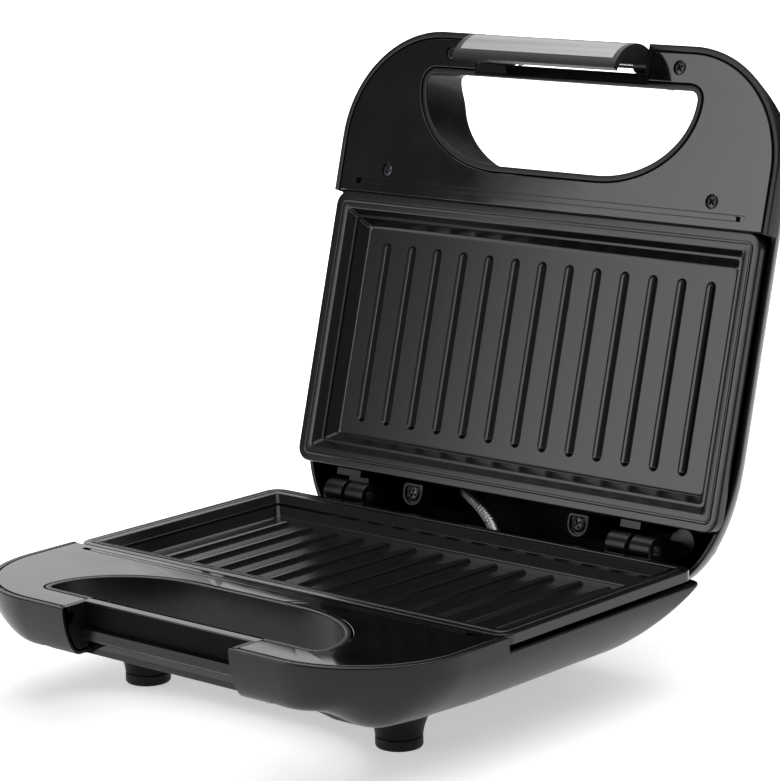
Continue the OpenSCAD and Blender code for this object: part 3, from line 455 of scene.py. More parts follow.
def clear_away(*cutters):
    """Deletes cutters once nothing needs them."""
    for cutter in cutters:
        bpy.data.objects.remove(cutter)


# %% [markdown]
# ## Outlines of the mouldings
# Seen from above, each half is a rectangle whose handle has large round corners. The same
# outline, drawn in by a growing amount while it sinks, makes the curved sides. Depths are
# measured down from the parting plane, and the lid is the same shape drawn upside down.

# %% Outline, depth and hand-hole as functions
# Steps of a round corner, and of a full turn.
CORNER, TURN = 26, 40


def half_outline(form, grip_in, front_in, side_in, back_in, share):
    """Right half of an outline from the front's middle to the back's: a quarter ellipse at the
    handle, two points at the step and a quarter ellipse at the back. Each inset is a number or
    one number a row, and share is how far the row is on its way to the underside."""
    grip_in, front_in, side_in, back_in, share = (
        np.atleast_1d(np.asarray(v, float))[:, None]
        for v in (grip_in, front_in, side_in, back_in, share))
    t = np.linspace(0, 1, CORNER + 1)[None, :]
    a, b = np.radians(-90 + 90 * t), np.radians(90 * t)
    r = handle_r + form["grow"] * share
    fx, fy = np.maximum(r - grip_in, 1), np.maximum(r - front_in, 1)
    bx = np.maximum(form["rim"][0] + (form["foot"][0] - form["rim"][0]) * share - side_in, 1)
    by = np.maximum(form["rim"][1] + (form["foot"][1] - form["rim"][1]) * share - back_in, 1)
    one = np.ones_like(grip_in + share)
    x = [side_x - grip_in - fx + fx * np.cos(a), (side_x - side_in) * one, (side_x - side_in) * one,
         side_x - side_in - bx + bx * np.cos(b)]
    y = [front_y + front_in + fy + fy * np.sin(a), (step_y - 0.2) * one, (step_y + 0.2) * one,
         form["back"] - back_in - by + by * np.sin(b)]
    return np.hstack([v * one for v in x]), np.hstack([v * one for v in y])


def smooth(t):
    """An S-curve from 0 to 1."""
    u = np.clip(t, 0, 1)
    return u * u * (3 - 2 * u)


def depth(form, y):
    """Depth of the underside: shallow under the handle, deep under the plate."""
    return form["hh"] + (form["bh"] - form["hh"]) * smooth((y - front_y - 10) / 18)


def wall_end(y):
    """Depth at which the upright wall turns into the curve."""
    return 1.2 + (rim_drop - 0.2) * smooth((y - front_y - 10) / 18)


def curve_rows(form, angles, w):
    """Rows of the curved face, w mm inside the outer one: at angle a the outline is drawn in by
    the full inset times (1 - cos a) to a power, and stands at sin a of the depth."""
    a = np.radians(angles)
    u = (1 - np.cos(a)) ** form["full"]
    inset = [w + (form[k] - w) * u for k in ("grip", "nose", "side", "tail")]
    x, y = half_outline(form, *inset, np.sin(a))
    start = wall_end(y)
    return np.stack([x, y, -(start + (depth(form, y) - w - start) * np.sin(a)[:, None])], axis=-1)


def level_rows(form, handle, body):
    """Rows at a given inset and height, one pair for the handle and one for the plate's part."""
    handle, body = np.array(handle, float), np.array(body, float)
    hx, hy = half_outline(form, *[handle[:, 0]] * 4, handle[:, 0] * 0)
    bx, by = half_outline(form, *[body[:, 0]] * 4, body[:, 0] * 0)
    on_handle = np.arange(hx.shape[1])[None, :] <= CORNER + 1
    return np.stack([np.where(on_handle, hx, bx), np.where(on_handle, hy, by),
                     np.where(on_handle, handle[:, 1:], body[:, 1:])], axis=-1)


def both_sides(half):
    """Adds the mirrored left half, so that each row runs all the way round."""
    other = half[:, ::-1] * np.array([-1.0, 1.0, 1.0])
    return np.concatenate([half, other], axis=1)


def hole_rows(grow, count=30):
    """The hand-hole's outline grown by each of the given amounts: small round tips at the front,
    a straight back edge and two long quarter ellipses."""
    g = np.atleast_1d(np.asarray(grow, float))[:, None]
    half_w, rx, ry = hole_w / 2 + g, (hole_w - hole_flat) / 2 + g, hole_d - hole_tip + g
    tip, base = hole_tip + g, hole_y + hole_tip
    a = np.radians(np.linspace(-90, 0, 7))[None, :]
    b = np.radians(np.linspace(0, 90, count))[None, 1:]
    x = np.hstack([half_w - tip + tip * np.cos(a), half_w - rx + rx * np.cos(b)])
    y = np.hstack([base + tip * np.sin(a), base + ry * np.sin(b)])
    return np.hstack([x, -x[:, ::-1]]), np.hstack([y, y[:, ::-1]])


# %% [markdown]
# ## The two mouldings
# Each moulding is one hollow shell: up the outside, over the rim, down the inside. Rows close
# together at the rim round its edges, so they catch a thin line of light. The hand-hole and the
# latch's notch are then carved out, and the wall round the hand-hole, the bar before it, the
# cheeks of the notch and the wall in front of the plate are added.

# %% Shell of a moulding
round_edge = 0.5
# Under the catch the lower notch runs further back, from a given height down, for the hook.
latch_room, room_top = 2.4, -9.9
# The hand-hole's wall opens out towards the underside, and the shell is cut a little wider.
hole_lean, hole_cut = 1.3, 1.5


def shell(form):
    """All rows of a hollow moulding, from the middle of the underside to the inner floor."""
    r, q = round_edge, round_edge * 0.3
    outside = curve_rows(form, np.linspace(90, 0, 19), 0.0)
    rim = level_rows(
        form,
        [(0, -skin_gap - r), (q, -skin_gap - q), (r, -skin_gap), (strip - r, -skin_gap),
         (strip - q, -skin_gap - q), (strip, -skin_gap - r), (strip, ledge_z), (strip + 3, ledge_z),
         (strip + 3, ledge_z - 2)],
        [(0, -rim_drop - r), (q, -rim_drop - q), (r, -rim_drop), (wall - r, -rim_drop),
         (wall - q, -rim_drop - q), (wall, -rim_drop - r), (wall, -rim_drop - r - 0.1),
         (wall, -rim_drop - r - 0.2), (wall, -rim_drop - r - 0.3)])
    inside = curve_rows(form, np.linspace(24, 90, 12), wall)
    return both_sides(np.concatenate([outside, rim, inside]))


def shell_shape(form):
    """The shell's rows joined, and its two flat floors closed by strips across the middle."""
    rows = shell(form)
    n, cols = rows.shape[:2]
    faces = grid_faces(n, cols, closed_cols=True)
    i = np.arange(cols // 2 - 1)
    strip_faces = np.stack([i, i + 1, cols - 2 - i, cols - 1 - i], axis=-1)
    inner_faces = strip_faces + (n - 1) * cols
    return rows.reshape(-1, 3), faces + strip_faces[:, ::-1].tolist() + inner_faces.tolist()


def bar_shape(profile, x0, x1):
    """A closed profile in Y and Z, carried along X from x0 to x1."""
    profile = np.asarray(profile, float)
    ends = np.array([x0, x1], float)
    rows = np.empty((2, len(profile), 3))
    rows[..., 0] = ends[:, None]
    rows[..., 1:] = profile[None]
    return tube(rows)


def prism_shape(outline, z0, z1):
    """A closed outline in X and Y, carried up from z0 to z1."""
    outline = np.asarray(outline, float)
    rows = np.empty((2, len(outline), 3))
    rows[..., :2] = outline[None]
    rows[..., 2] = np.array([z0, z1], float)[:, None]
    return tube(rows)


def lathe_rows(profile, x, y, z=0.0):
    """A profile of radius and height turned about the upright axis at x, y."""
    profile = np.asarray(profile, float)
    a = np.linspace(0, 2 * math.pi, TURN, endpoint=False)
    return np.stack([x + profile[:, :1] * np.cos(a), y + profile[:, :1] * np.sin(a),
                     z + profile[:, 1:] * np.ones_like(a)], axis=-1)


def front_draft(form, y):
    """How far a point of the hand-hole's front wall leans out on the lid: 1.5 mm at the front
    edge, easing to nothing 3 mm behind it."""
    return 0.0 * y if form is lower else 1.5 * smooth((hole_y + 3.0 - y) / 3.0)


def hole_wall_shape(form):
    """The wall round the hand-hole: inner and outer outline with a rounded top edge, down to the
    underside on the inside and a little less on the outside."""
    r, q = round_edge, round_edge * 0.3
    grow = np.array([hole_lean, 0, q, r, hole_wall - r, hole_wall - q, hole_wall, hole_wall])
    x, y = hole_rows(grow)
    y[[0, 7]] -= front_draft(form, y[[0, 7]])
    foot = -depth(form, y)
    top = np.array([0, -r, -q, 0, 0, -q, -r, 0])[:, None] - skin_gap
    z = np.where((np.arange(8) == 0)[:, None], foot,
                 np.where((np.arange(8) == 7)[:, None], foot + 1.0, top * np.ones_like(x)))
    return ring_of_rings(np.stack([x, y, z], axis=-1))


def nose_profile(form, d):
    """Side view of the handle's front, drawn in by d."""
    a = np.radians(np.linspace(0, 90, 13))
    u = (1 - np.cos(a)) ** form["full"]
    curve = np.stack([front_y + d + (form["nose"] - d) * u,
                      -(1.2 + (form["hh"] - d - 1.2) * np.sin(a))], axis=-1)
    ends = np.array([[notch_y + 0.4, -(form["hh"] - d)], [notch_y + 0.4, -skin_gap]])
    return np.concatenate([[[front_y + d, -skin_gap]], curve, ends])


def side_profile(form, d):
    """Front view of the moulding across its width, drawn in by d."""
    a = np.radians(np.linspace(0, 90, 13))
    u = (1 - np.cos(a)) ** form["full"]
    start = rim_drop + 1
    curve = np.stack([side_x - d - (form["side"] - d) * u,
                      -(start + (form["bh"] - d - start) * np.sin(a))], axis=-1)
    rightside = np.concatenate([[[side_x - d, ledge_z]], curve])
    return np.concatenate([rightside, rightside[::-1] * np.array([-1.0, 1.0])])


def cross_wall_shape(form):
    """The wall between the handle and the plate."""
    profile = side_profile(form, wall * 0.8)
    rows = np.empty((2, len(profile), 3))
    rows[..., 0], rows[..., 2] = profile[None, :, 0], profile[None, :, 1]
    rows[..., 1] = np.array([step_y - 0.6, step_y - 6.6])[:, None]
    return tube(rows)


def paint_shade_inside(shell_piece, outer_rows=28):
    """Paints shade on the faces behind the rim: they get the darker, duller black."""
    shell_piece.data.materials.append(painted_shade_black)
    count = len(shell_piece.data.polygons)
    # Painted shade: every face after the outer rows lies inside the shell and gets the darker
    # black.
    inner = np.arange(count) >= outer_rows * (4 * CORNER + 8)
    shell_piece.data.polygons.foreach_set("material_index", inner.astype(np.int32))


def moulding(name, form, place, body):
    """Shell, hand-hole wall, cheeks, cross wall and the glossy bar between notch and hand-hole."""
    def down(p):
        return place(p if form is lower else p * np.array([1.0, 1.0, -1.0]))

    x, y = hole_rows([hole_cut])
    y -= front_draft(form, y)
    hole = piece("cut", [prism_shape(np.stack([x[0], y[0]], -1), -40, 5)], down, satin_black, None)
    box = [[front_y - 3, 3], [front_y - 3, -40], [notch_y, -40], [notch_y, 3]]
    if form is lower:
        box[2:3] = [[notch_y + latch_room, -40], [notch_y + latch_room, room_top],
                    [notch_y, room_top]]
    notch = piece("cut", [bar_shape(box, -notch_w / 2, notch_w / 2)], down, satin_black, None)
    body_shell = piece(name + "_shell", [shell_shape(form)], down, satin_black, body)
    paint_shade_inside(body_shell)
    carve(body_shell, hole, notch)
    walls = [hole_wall_shape(form), cross_wall_shape(form)]
    cheek = nose_profile(form, wall / 2)
    walls += [bar_shape(cheek, s * notch_w / 2, s * (notch_w / 2 + wall)) for s in (-1, 1)]
    grip, r, foot = hole_y - 0.6, round_edge, -form["hh"] + 0.7
    step = notch_y + (latch_room if form is lower else 0.0)
    lean = float(front_draft(form, np.array(hole_y)))
    bar = [[step, foot], [step, room_top - 0.5], [notch_y, room_top - 0.5],
           [notch_y, -skin_gap - r], [notch_y + 0.3 * r, -skin_gap - 0.3 * r],
           [notch_y + r, -skin_gap], [grip, -skin_gap], [grip - lean, foot]]
    bar_x = notch_w / 2 + 1.8
    piece(name + "_bar", [bar_shape(bar, -bar_x, bar_x)], down, gloss_black, body)
    piece(name + "_walls", walls, down, satin_black, body)
    clear_away(hole, notch)
    return body_shell


lower_shell = moulding("lower", lower, on_table, "base")
upper_shell = moulding("upper", upper, on_lid, "lid")
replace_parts(lower_shell, "lower_housing")
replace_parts(upper_shell, "upper_housing")

# %% [markdown]
# ## Fittings of the mouldings
# Legs, hinge knuckles, bosses and pegs are moulded in one with their half. Most are turned
# shapes: a profile of radius and height carried round an axis. Each runs a little way into the
# shell, as a real rib or boss grows out of its wall.

# %% Turned shapes and small blocks
def barrel_shape(x0, x1, y, z, r):
    """A cylinder along X with rounded ends, turned about the line at y, z."""
    edge, q = round_edge, round_edge * 0.3
    x = np.array([x0, x0 + q, x0 + edge, x1 - edge, x1 - q, x1], float)
    radius = r - np.array([edge, q, 0, 0, q, edge])
    a = np.linspace(0, 2 * math.pi, TURN, endpoint=False)
    return tube(np.stack([x[:, None] * np.ones_like(a), y + radius[:, None] * np.cos(a),
                          z + radius[:, None] * np.sin(a)], axis=-1))


def block_shape(x0, x1, y0, y1, z0, z1):
    """A block, whose edges are rounded later."""
    return prism_shape([[x0, y0], [x1, y0], [x1, y1], [x0, y1]], z0, z1)


def below(p):
    """Carries a lid shape drawn downwards to its place on the lid."""
    return on_lid(p * np.array([1.0, 1.0, -1.0]))


# %% Legs, screw wells, catch and inlet of the lower half
foot_r, foot_t, floor_z = 8.7, 4.2, -11.6
legs = [(-63.4, -63.2, 8.5), (63.4, -63.2, 8.5), (-38.0, 45.0, 3.0), (38.0, 45.0, 3.0)]
leg_h = table_drop - foot_t - lower["bh"] + wall


def leg_shape(x, y, flare):
    """A round leg whose radius grows with the height to the power 1.6."""
    k = np.linspace(0, 1, 13)
    r = np.concatenate([[foot_r - 0.5], foot_r + flare * k ** 1.6])
    z = np.concatenate([[0.0], 0.4 + (leg_h - 0.4) * k])
    return tube(lathe_rows(np.stack([r, z], -1), x, y, foot_t - table_drop))


screw_spots = [(-57.3, -118.3), (57.3, -118.3), (-81.8, -67.8), (81.8, -67.8)]
post_spots = [(x, y) for x in (-78, 78) for y in (-34, 34)]
post_well_r, screw_well_r = 4.0, 3.0
turn_angles = np.linspace(0, 2 * math.pi, 36, endpoint=False)
ROUND = np.stack([np.cos(turn_angles), np.sin(turn_angles)], -1)


def well_shape(x, y, form, r, bore, seat, top):
    """A screw well: a tube from the underside up to its top, with a wide mouth for the head."""
    under = -float(depth(form, y))
    return ring_of_rings(lathe_rows(
        [(r + 1, under + 1.9), (r + 1, top), (bore, top), (bore, under + seat),
         (r - 0.02, under + seat), (r - 0.02, under + 1.6)], x, y))


def wells(form, handle_too):
    """Plugs that cut the mouths of the screw wells into the underside."""
    plugs = [prism_shape(np.array([[x, y]]) + post_well_r * ROUND, -form["bh"] - 3,
                         -form["bh"] + 4) for x, y in post_spots]
    if handle_too:
        plugs += [prism_shape(np.array([[x, y]]) + screw_well_r * ROUND, -30,
                              -float(depth(form, y)) + 4) for x, y in screw_spots]
    return plugs


arch_y, arch_z, latch_r, arch_t = -110.0, -4.0, 16.0, 3.0
catch_r, catch_top = latch_r - arch_t - 0.6, -9.8
y0, y1 = notch_y - 3.0, notch_y + 2.7
arc_y = np.linspace(y1, y0, 14)
arc = np.stack([arc_y, arch_z - np.sqrt(catch_r ** 2 - (arc_y - arch_y) ** 2)], -1)
bead = np.array([[y0, catch_top - 0.6], [y0 + 0.18, catch_top - 0.18], [y0 + 0.6, catch_top]])
catch = bar_shape(np.concatenate([bead, [[y1, catch_top]], arc]), -notch_w / 2, notch_w / 2)

bush = lathe_rows([(9, -8), (9, 0.4), (8.4, 1), (6.05, 1), (6.05, -8)], 0, 0)
inlet = ring_of_rings(np.stack([bush[..., 0] - 38, lower["back"] + bush[..., 2],
                                bush[..., 1] - 17], -1))

lower_fit = [catch, inlet]
lower_fit += [well_shape(x, y, lower, post_well_r, 2.1, 6.0, floor_z) for x, y in post_spots]
lower_fit += [well_shape(x, y, lower, screw_well_r, 1.7, 5.0, ledge_z - 7)
              for x, y in screw_spots]

# %% Hinge knuckles, lugs, bosses and pegs
hinge_x, knuckle_r, knuckle_w, knuckle_gap = (-74.0, 71.5), 5.2, 9.8, 1.6
arm = [[lower["back"] - 1, -17.8], [lower["back"] - 1, -rim_drop],
       [hinge_y - knuckle_r + 0.6, -2], [hinge_y, -2.6], [hinge_y - 1, -knuckle_r]]
upper_fit = []
for x in hinge_x:
    left, right_side = x - knuckle_gap / 2 - knuckle_w, x + knuckle_gap / 2
    lower_fit.append(barrel_shape(left, left + knuckle_w, hinge_y, 0, knuckle_r))
    lower_fit.append(bar_shape(arm, left + 0.6, left + knuckle_w - 0.6))
    upper_fit.append(barrel_shape(right_side, right_side + knuckle_w, hinge_y, 0, knuckle_r))
    upper_fit.append(block_shape(right_side + 0.5, right_side + knuckle_w - 0.5,
                                 hinge_y - knuckle_r + 0.6, hinge_y + knuckle_r - 0.6, 0, 26.1))
lug_y, lid_floor = 57.8, 26.5
for x, w in ((-83.8, 12.7), (62.7, 9.4)):
    upper_fit.append(block_shape(x, x + w, lug_y, lug_y + 2.8, 0.8, lid_floor + 0.6))


def shield_rows(grow):
    """Outline of a boss, grown by each amount: round at the back, square with small round
    corners towards the plate."""
    g = np.asarray(grow, float)[:, None]
    r, h, c = 5.2 + g, 4.2 + g, 1.4
    a = np.radians(np.linspace(0, 180, 19))[None]
    b = np.radians(np.linspace(180, 270, 6))[None]
    d = np.radians(np.linspace(270, 360, 6))[None]
    x = np.hstack([r * np.cos(a), -r + c + c * np.cos(b), r - c + c * np.cos(d)])
    y = np.hstack([r * np.sin(a), -h + c + c * np.sin(b), -h + c + c * np.sin(d)])
    return x, y


boss_spots, mouth = [(-42.3, 63.0), (42.3, 63.0)], 1.0
x, y = shield_rows([0, 0, -0.12, -0.4, -1.0, -1.28, -1.4, -1.4])
z = np.array([lid_floor + 0.6, mouth + 0.4, mouth + 0.12, mouth, mouth, mouth + 0.12, mouth + 0.4,
              mouth + 0.9])[:, None] * np.ones_like(x)
boss = tube(np.stack([x, y, z], -1))
upper_fit += [moved(boss, bx, by) for bx, by in boss_spots]
peg = [(5.6, 14.5), (6.0, 15.0), (4.7, 32.4), (4.3, 32.9), (3.9, 33.0)]
upper_fit += [tube(lathe_rows(peg, s * 83.0, 63.5)) for s in (-1, 1)]
flip = np.array([1.0, 1.0, -1.0])
upper_wells = [well_shape(x, y, upper, post_well_r, 2.1, 6.0, floor_z) for x, y in post_spots]
upper_fit += [(p * flip, f) for p, f in upper_wells]

piece("lower_fittings", lower_fit, on_table, satin_black, "base")
piece("lower_legs", [leg_shape(*leg) for leg in legs], on_table, leg_black, "base")
# Painted shade: a dull black sheet at the back of the latch's notch, standing in for the shade in
# that recess.
shade_sheet = block_shape(-notch_w / 2, notch_w / 2, notch_y - 0.5, notch_y - 0.02, catch_top, -0.9)
piece("notch_shade_sheet", [shade_sheet], on_table, painted_shade_black, "base")
piece("upper_fittings", upper_fit, on_lid, satin_black, "lid")
plugs = piece("cut", wells(lower, True), on_table, satin_black, None)
carve(lower_shell, plugs)
clear_away(plugs)
plugs = piece("cut", wells(upper, False), below, satin_black, None)
carve(upper_shell, plugs)
clear_away(plugs)

# %% [markdown]
# ## Grill plates
# A plate is an aluminium casting: a flat rim with a thin bead, a sloping wall and a flat well
# with thirteen ribs. Its section is a list of insets and heights carried round a rectangle with
# round corners. A rib is a stack of ever narrower bars with round ends, so its flanks turn over
# softly and catch a thin line of light.

# %% Plate and ribs
plate_x, plate_y, plate_r = 107.0, 57.5, 6.0


def plate_rows(inset, z):
    """Round-cornered rectangles, one a row, each drawn in by its inset and at its own height."""
    d, z = np.asarray(inset, float)[:, None], np.asarray(z, float)[:, None]
    r = np.maximum(plate_r - d, 1.5 + 0 * d)
    parts = []
    for sx, sy, a0 in ((1, 1, 0), (-1, 1, 90), (-1, -1, 180), (1, -1, 270)):
        a = np.radians(np.linspace(a0, a0 + 90, 7))[None]
        parts.append(np.stack([sx * (plate_x - d - r) + r * np.cos(a),
                               sy * (plate_y - d - r) + r * np.sin(a), z + 0 * a], -1))
    return np.concatenate(parts, axis=1)


well_z, top_z = -8.6, -0.4
section = [(10.3, -11.6), (10.3, -3.6), (3.0, -3.6), (3.0, -4.7), (0.3, -4.7), (0.0, -4.4),
           (0.0, top_z - 0.7), (0.2, top_z - 0.2), (0.7, top_z), (3.1, top_z), (3.35, top_z + 0.2),
           (3.6, top_z + 0.28), (4.1, top_z + 0.28), (4.35, top_z + 0.2), (4.6, top_z),
           (6.5, top_z), (7.1, top_z - 0.22), (7.5, top_z - 0.8), (12.4, well_z + 1.2),
           (12.9, well_z + 0.5), (13.4, well_z + 0.12), (14.2, well_z), (14.6, well_z)]
dish = tube(plate_rows(*np.array(section).T))


def rib_shape(x, length=75.6, width=4.3, height=1.6):
    """A bar with round ends whose steep flanks turn over softly into a narrow crown."""
    half = np.array([width / 2 + 0.25, width / 2, 1.75, 1.6, 1.42, 1.18, 0.85, 0.4])
    z = np.array([-0.1, 0.05, 0.75, 1.05, 1.28, 1.45, 1.56, height])
    reach = length / 2 - width / 2
    a = np.radians(np.linspace(0, 180, 13))
    px = np.concatenate([np.cos(a), np.cos(a + math.pi)])
    py = np.concatenate([np.sin(a), np.sin(a + math.pi)])
    end = np.concatenate([np.full(13, reach), np.full(13, -reach)])
    rows = np.stack([x + half[:, None] * px, half[:, None] * py + end,
                     well_z + z[:, None] + 0 * px], -1)
    return tube(rows)


rib_count, rib_pitch, plate_smooth = 13, 13.68, 34
ribs = [rib_shape((i - rib_count // 2) * rib_pitch) for i in range(rib_count)]
lower_grill = piece("lower_grill", [dish] + ribs, on_table, nonstick, "base", plate_smooth)
upper_grill = piece("upper_grill", [dish] + ribs, below, nonstick, "lid", plate_smooth)
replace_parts(lower_grill, "lower_plate")
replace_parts(upper_grill, "upper_plate")

# %% [markdown]
# ## Glossy covers
# A cover is a C-shaped band between the handle's strip and the hand-hole. Its section, a flat
# slab with rounded edges, is carried from one side of the latch's notch round to the other.
# Two fine slots are then cut along its back edge, with a pocket at their ends, and wells for the
# screw heads in the lid's.


# %% Cover band
def resample(path, count):
    """Points at even distances along a path, its corners left where they are between calls."""
    path = np.asarray(path, float)
    s = np.concatenate([[0], np.cumsum(np.linalg.norm(np.diff(path, axis=0), axis=1))])
    t = np.linspace(0, s[-1], count)
    return np.stack([np.interp(t, s, path[:, 0]), np.interp(t, s, path[:, 1])], -1)


def cover_shape(form):
    """Outer and inner edge in matched steps, then the slab's section between each pair."""
    gap, back, notch_x = strip + cover_gap, step_y - 0.7, notch_w / 2 + wall + 0.3
    ox, oy = half_outline(form, gap, gap, gap, gap, 0.0)
    corner = np.stack([ox[0, :CORNER + 1], oy[0, :CORNER + 1]], -1)
    half = CORNER // 2
    outer = [resample(np.concatenate([[[notch_x, front_y + gap]], corner[:half + 1]]), 26),
             resample(np.concatenate([corner[half:], [[side_x - gap, back]]]), 30)[1:],
             resample([[side_x - gap, back], [0, back]], 20)[1:]]
    hx, hy = hole_rows([hole_wall + cover_gap])
    n = hx.shape[1] // 2
    rim = np.stack([hx[0, :n], hy[0, :n]], -1)
    inner = [resample(np.concatenate([[[notch_x, rim[0, 1]]], rim[:7]]), 26),
             resample(rim[6:24], 30)[1:],
             resample(np.concatenate([rim[23:], [[0, rim[-1, 1]]]]), 20)[1:]]
    outer, inner = np.concatenate(outer), np.concatenate(inner)
    outer = np.concatenate([outer, (outer * [-1, 1])[-2::-1]])
    inner = np.concatenate([inner, (inner * [-1, 1])[-2::-1]])
    way = inner - outer
    way /= np.linalg.norm(way, axis=1, keepdims=True)
    r, q = 0.45, 0.14
    step = [0, 0, q, r]
    drop = [-cover_t, -r, -q, 0]
    loop = [(outer + way * s, z) for s, z in zip(step, drop)]
    loop += [(inner - way * s, z) for s, z in zip(step[::-1], drop[::-1])]
    rows = [np.column_stack([p, np.full(len(p), z - skin_gap)]) for p, z in loop]
    return tube(np.stack(rows, axis=1))


def slot(y, x, width):
    """A cutter for one narrow slot of the cover, from side to side."""
    return bar_shape([[y, -2.6], [y, 2], [y + width, 2], [y + width, -2.6]], -x, x)


slot_w, head_well_r = 0.42, 2.95
slots = [slot(step_y - 6.4, 97.5, slot_w), slot(step_y - 4.1, 94.5, slot_w)]
pockets = [block_shape(x, x + 4.0, step_y - 6.3, step_y - 3.8, -1.9, 2) for x in (-98.0, 94.0)]
cutter = piece("cut", slots, on_table, gloss_black, None)
ends = piece("cut", pockets, on_table, gloss_black, None)
lower_cover = piece("lower_cover", [cover_shape(lower)], on_table, gloss_black, "base")
carve(lower_cover, cutter, ends, width=0.15)
clear_away(cutter, ends)
heads = [prism_shape(np.array([[x, y]]) + head_well_r * ROUND, -1.9, 2) for x, y in screw_spots]
cutter = piece("cut", slots + heads, below, gloss_black, None)
ends = piece("cut", pockets, below, gloss_black, None)
upper_cover = piece("upper_cover", [cover_shape(upper)], below, gloss_black, "lid")
carve(upper_cover, cutter, ends, width=0.15)
clear_away(cutter, ends)
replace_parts(lower_cover, "lower_handle_cover")
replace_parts(upper_cover, "upper_handle_cover")

# %% [markdown]
# ## Screws
# The heads in the lid are pan heads with a cross recess. A head is one polar grid: the height
# falls off towards the edge and drops inside the cross, whose arms follow the two axes.


# %% Screw heads
def screw_shape(radius, crown, recess, arm_len, arm_w, skirt):
    """Height over a disc: a shallow dome, minus a cross that deepens towards the middle."""
    r = np.concatenate([np.linspace(0.02, 0.92, 20), [0.97, 1.0]]) * radius
    a = np.linspace(0, 2 * math.pi, 72, endpoint=False)
    x, y = r[:, None] * np.cos(a), r[:, None] * np.sin(a)
    dome = crown * (1 - (r[:, None] / radius) ** 2) ** 0.5
    arms = np.minimum(np.abs(x), np.abs(y))
    far = np.maximum(np.abs(x), np.abs(y))
    cross = smooth((arm_w - arms) / (arm_w * 0.6) + 0.3) * smooth((arm_len - far) / 0.35)
    z = dome - recess * cross * (1 - 0.35 * far / arm_len)
    top = np.stack([x, y, z], -1)
    foot = np.stack([x[-1], y[-1], np.full(72, -skirt)], -1)[None]
    return tube(np.concatenate([top, foot]))


def screws_at(name, spots, z, place, node, **size):
    """Copies of one screw head, each turned by a different amount about its own axis."""
    shapes = []
    for n, (x, y) in enumerate(spots):
        p, f = screw_shape(**size)
        t = math.radians(17 + 41 * n)
        turned = np.stack([p[:, 0] * math.cos(t) - p[:, 1] * math.sin(t) + x,
                           p[:, 0] * math.sin(t) + p[:, 1] * math.cos(t) + y, p[:, 2] + z], -1)
        shapes.append((turned, f))
    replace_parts(piece(name, shapes, place, screw_steel, "lid", 40), node)


# Black-passivated zinc: a dark mirror with a warm tinge that only the edges lift to white.
screw_steel = bare_metal("black passivated screw", "#3c3c3f", 0.24, 0.8, 0.004)
screws_at("lid_screws", screw_spots, -skin_gap - 0.3, below, "upper_cover_screws",
          radius=2.45, crown=0.25, recess=1.0, arm_len=1.6, arm_w=0.4, skirt=1.4)
screws_at("boss_screws", boss_spots, -mouth - 0.6, below, "hinge_boss_screws",
          radius=3.2, crown=0.6, recess=1.0, arm_len=2.0, arm_w=0.42, skirt=1.5)

# %% [markdown]
# ## Latch
# The latch is a dark moulded arch that snaps under the lower handle, with a silver cover on its
# back that leaves the arch's lip dark. Both are a section carried round a centre line: radius and
# X give the section, the angle gives the way along it.

# %% Arch, clip cover and pin knuckles
pivot_a, lip_a, tip_a, clip_half, cheek_out = 126.0, 241.0, 256.5, 38.2, 40.6


def arch_shape(section_rx, a0, a1, count=40):
    """A closed section in radius and X, carried round the latch's centre from a0 to a1."""
    s = np.asarray(section_rx, float)
    a = np.radians(np.linspace(a0, a1, count))[:, None]
    rows = np.stack([s[None, :, 1] + 0 * a, arch_y + s[None, :, 0] * np.cos(a),
                     arch_z + s[None, :, 0] * np.sin(a)], -1)
    return tube(rows)


def slab(r0, r1, x0, x1, edge=0.35):
    """A slab's section with its four corners rounded."""
    q = edge * 0.3
    return [(r0, x0 + edge), (r0 + q, x0 + q), (r0 + edge, x0), (r1 - edge, x0), (r1 - q, x0 + q),
            (r1, x0 + edge), (r1, x1 - edge), (r1 - q, x1 - q), (r1 - edge, x1),
            (r0 + edge, x1), (r0 + q, x1 - q), (r0, x1 - edge)]


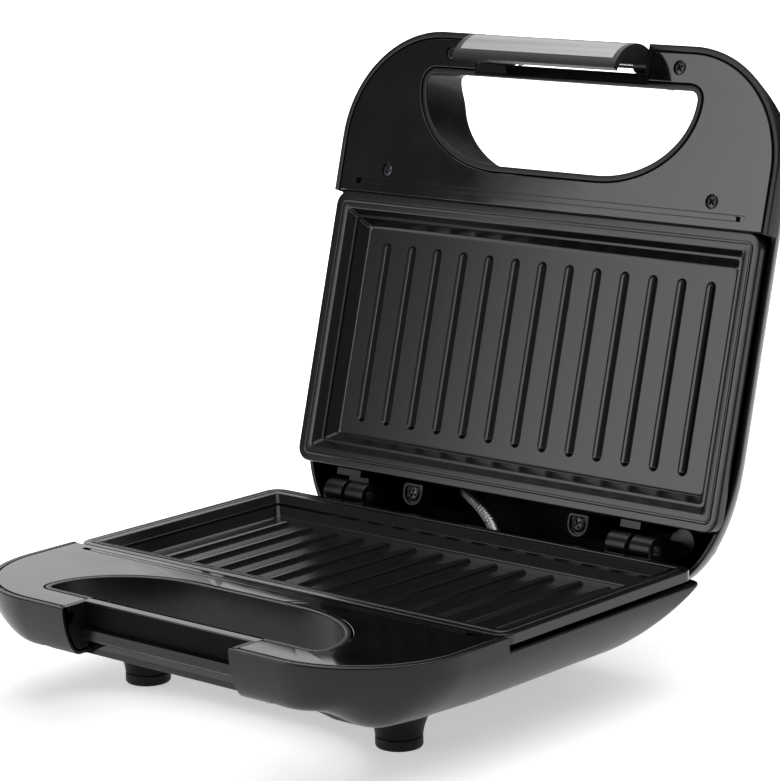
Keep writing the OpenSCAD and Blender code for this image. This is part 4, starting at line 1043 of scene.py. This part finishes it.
arch_in, clip_in = latch_r - arch_t, latch_r - 1.1
pivot_y = arch_y + latch_r * math.cos(math.radians(pivot_a))
pivot_z = arch_z + latch_r * math.sin(math.radians(pivot_a))
under_clip = slab(arch_in, clip_in - 0.05, -clip_half + 0.1, clip_half - 0.1)
hook_parts = [arch_shape(under_clip, 136, lip_a),
              arch_shape(slab(arch_in, latch_r, -cheek_out, cheek_out), lip_a, tip_a, 8)]
hook_parts += [arch_shape(slab(arch_in, latch_r, *sorted((s * clip_half, s * cheek_out))),
                          pivot_a, lip_a + 0.2) for s in (-1, 1)]
hook_parts += [barrel_shape(*sorted((s * 40.8, s * 30.8)), pivot_y, pivot_z, 3.4) for s in (-1, 1)]
latch_arch = piece("latch_arch", hook_parts, on_lid, hook_black, "latch")
clip = piece("latch_clip", [arch_shape(slab(clip_in, latch_r, -clip_half, clip_half, 0.3),
                                       136.5, lip_a - 0.5)], on_lid, silver, "latch")
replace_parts(latch_arch, "latch_hook")
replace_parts(clip, "latch_clip_cover")

# %% [markdown]
# ## Lead sleeve and feet
# The sleeve is a ribbed silver tube in one fixed bend. Its radius rises and falls along
# a smooth line from the back wall into the lid. The feet are turned rubber pads.

# %% Sleeve
route = np.array([[4, 58, -12], [4, 62, -12], [3.6, 66, -10.6], [1.8, 69.4, -6.6], [-3, 72, -2.2],
                  [-9, 74.4, 1.2], [-15, 76.8, 3.6], [-21, 79.6, 5], [-25, 83, 5.2]], float)
u = np.linspace(0, 1, 160)
knots = np.linspace(0, 1, len(route))
weights = np.exp(-((u[:, None] - knots[None]) / 0.075) ** 2)
line = (weights @ route) / weights.sum(1, keepdims=True)
line[0], line[-1] = route[0], route[-1]
ahead_way = np.gradient(line, axis=0)
ahead_way /= np.linalg.norm(ahead_way, axis=1, keepdims=True)
aside = np.cross(ahead_way, [1.0, 0.2, 0.0])
aside /= np.linalg.norm(aside, axis=1, keepdims=True)
over = np.cross(ahead_way, aside)
length = np.concatenate([[0], np.cumsum(np.linalg.norm(np.diff(line, axis=0), axis=1))])
radius = (2.42 + 0.08 * np.cos(length * 2 * math.pi / 1.6))[:, None, None]
a = np.linspace(0, 2 * math.pi, 24, endpoint=False)[None, :, None]
rings = line[:, None] + radius * (np.cos(a) * aside[:, None] + np.sin(a) * over[:, None])
sleeve = piece("sleeve", [tube(rings)], on_table, silver, None)
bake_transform(sleeve)
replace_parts(sleeve, "lead_sleeve")

# %% Rubber feet
pad = [(6.9, 0), (7.7, 0.0), (8.3, 0.25), (8.7, 0.9), (8.7, 3.6), (8.5, 4.1), (8.2, foot_t)]
names = ["front_left_foot", "front_right_foot", "rear_left_foot", "rear_right_foot"]
for name, (x, y, _) in zip(names, legs):
    made = piece(name + "_pad", [tube(lathe_rows(pad, x, y, -table_drop))], on_table,
                 rubber_black, "base")
    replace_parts(made, name)
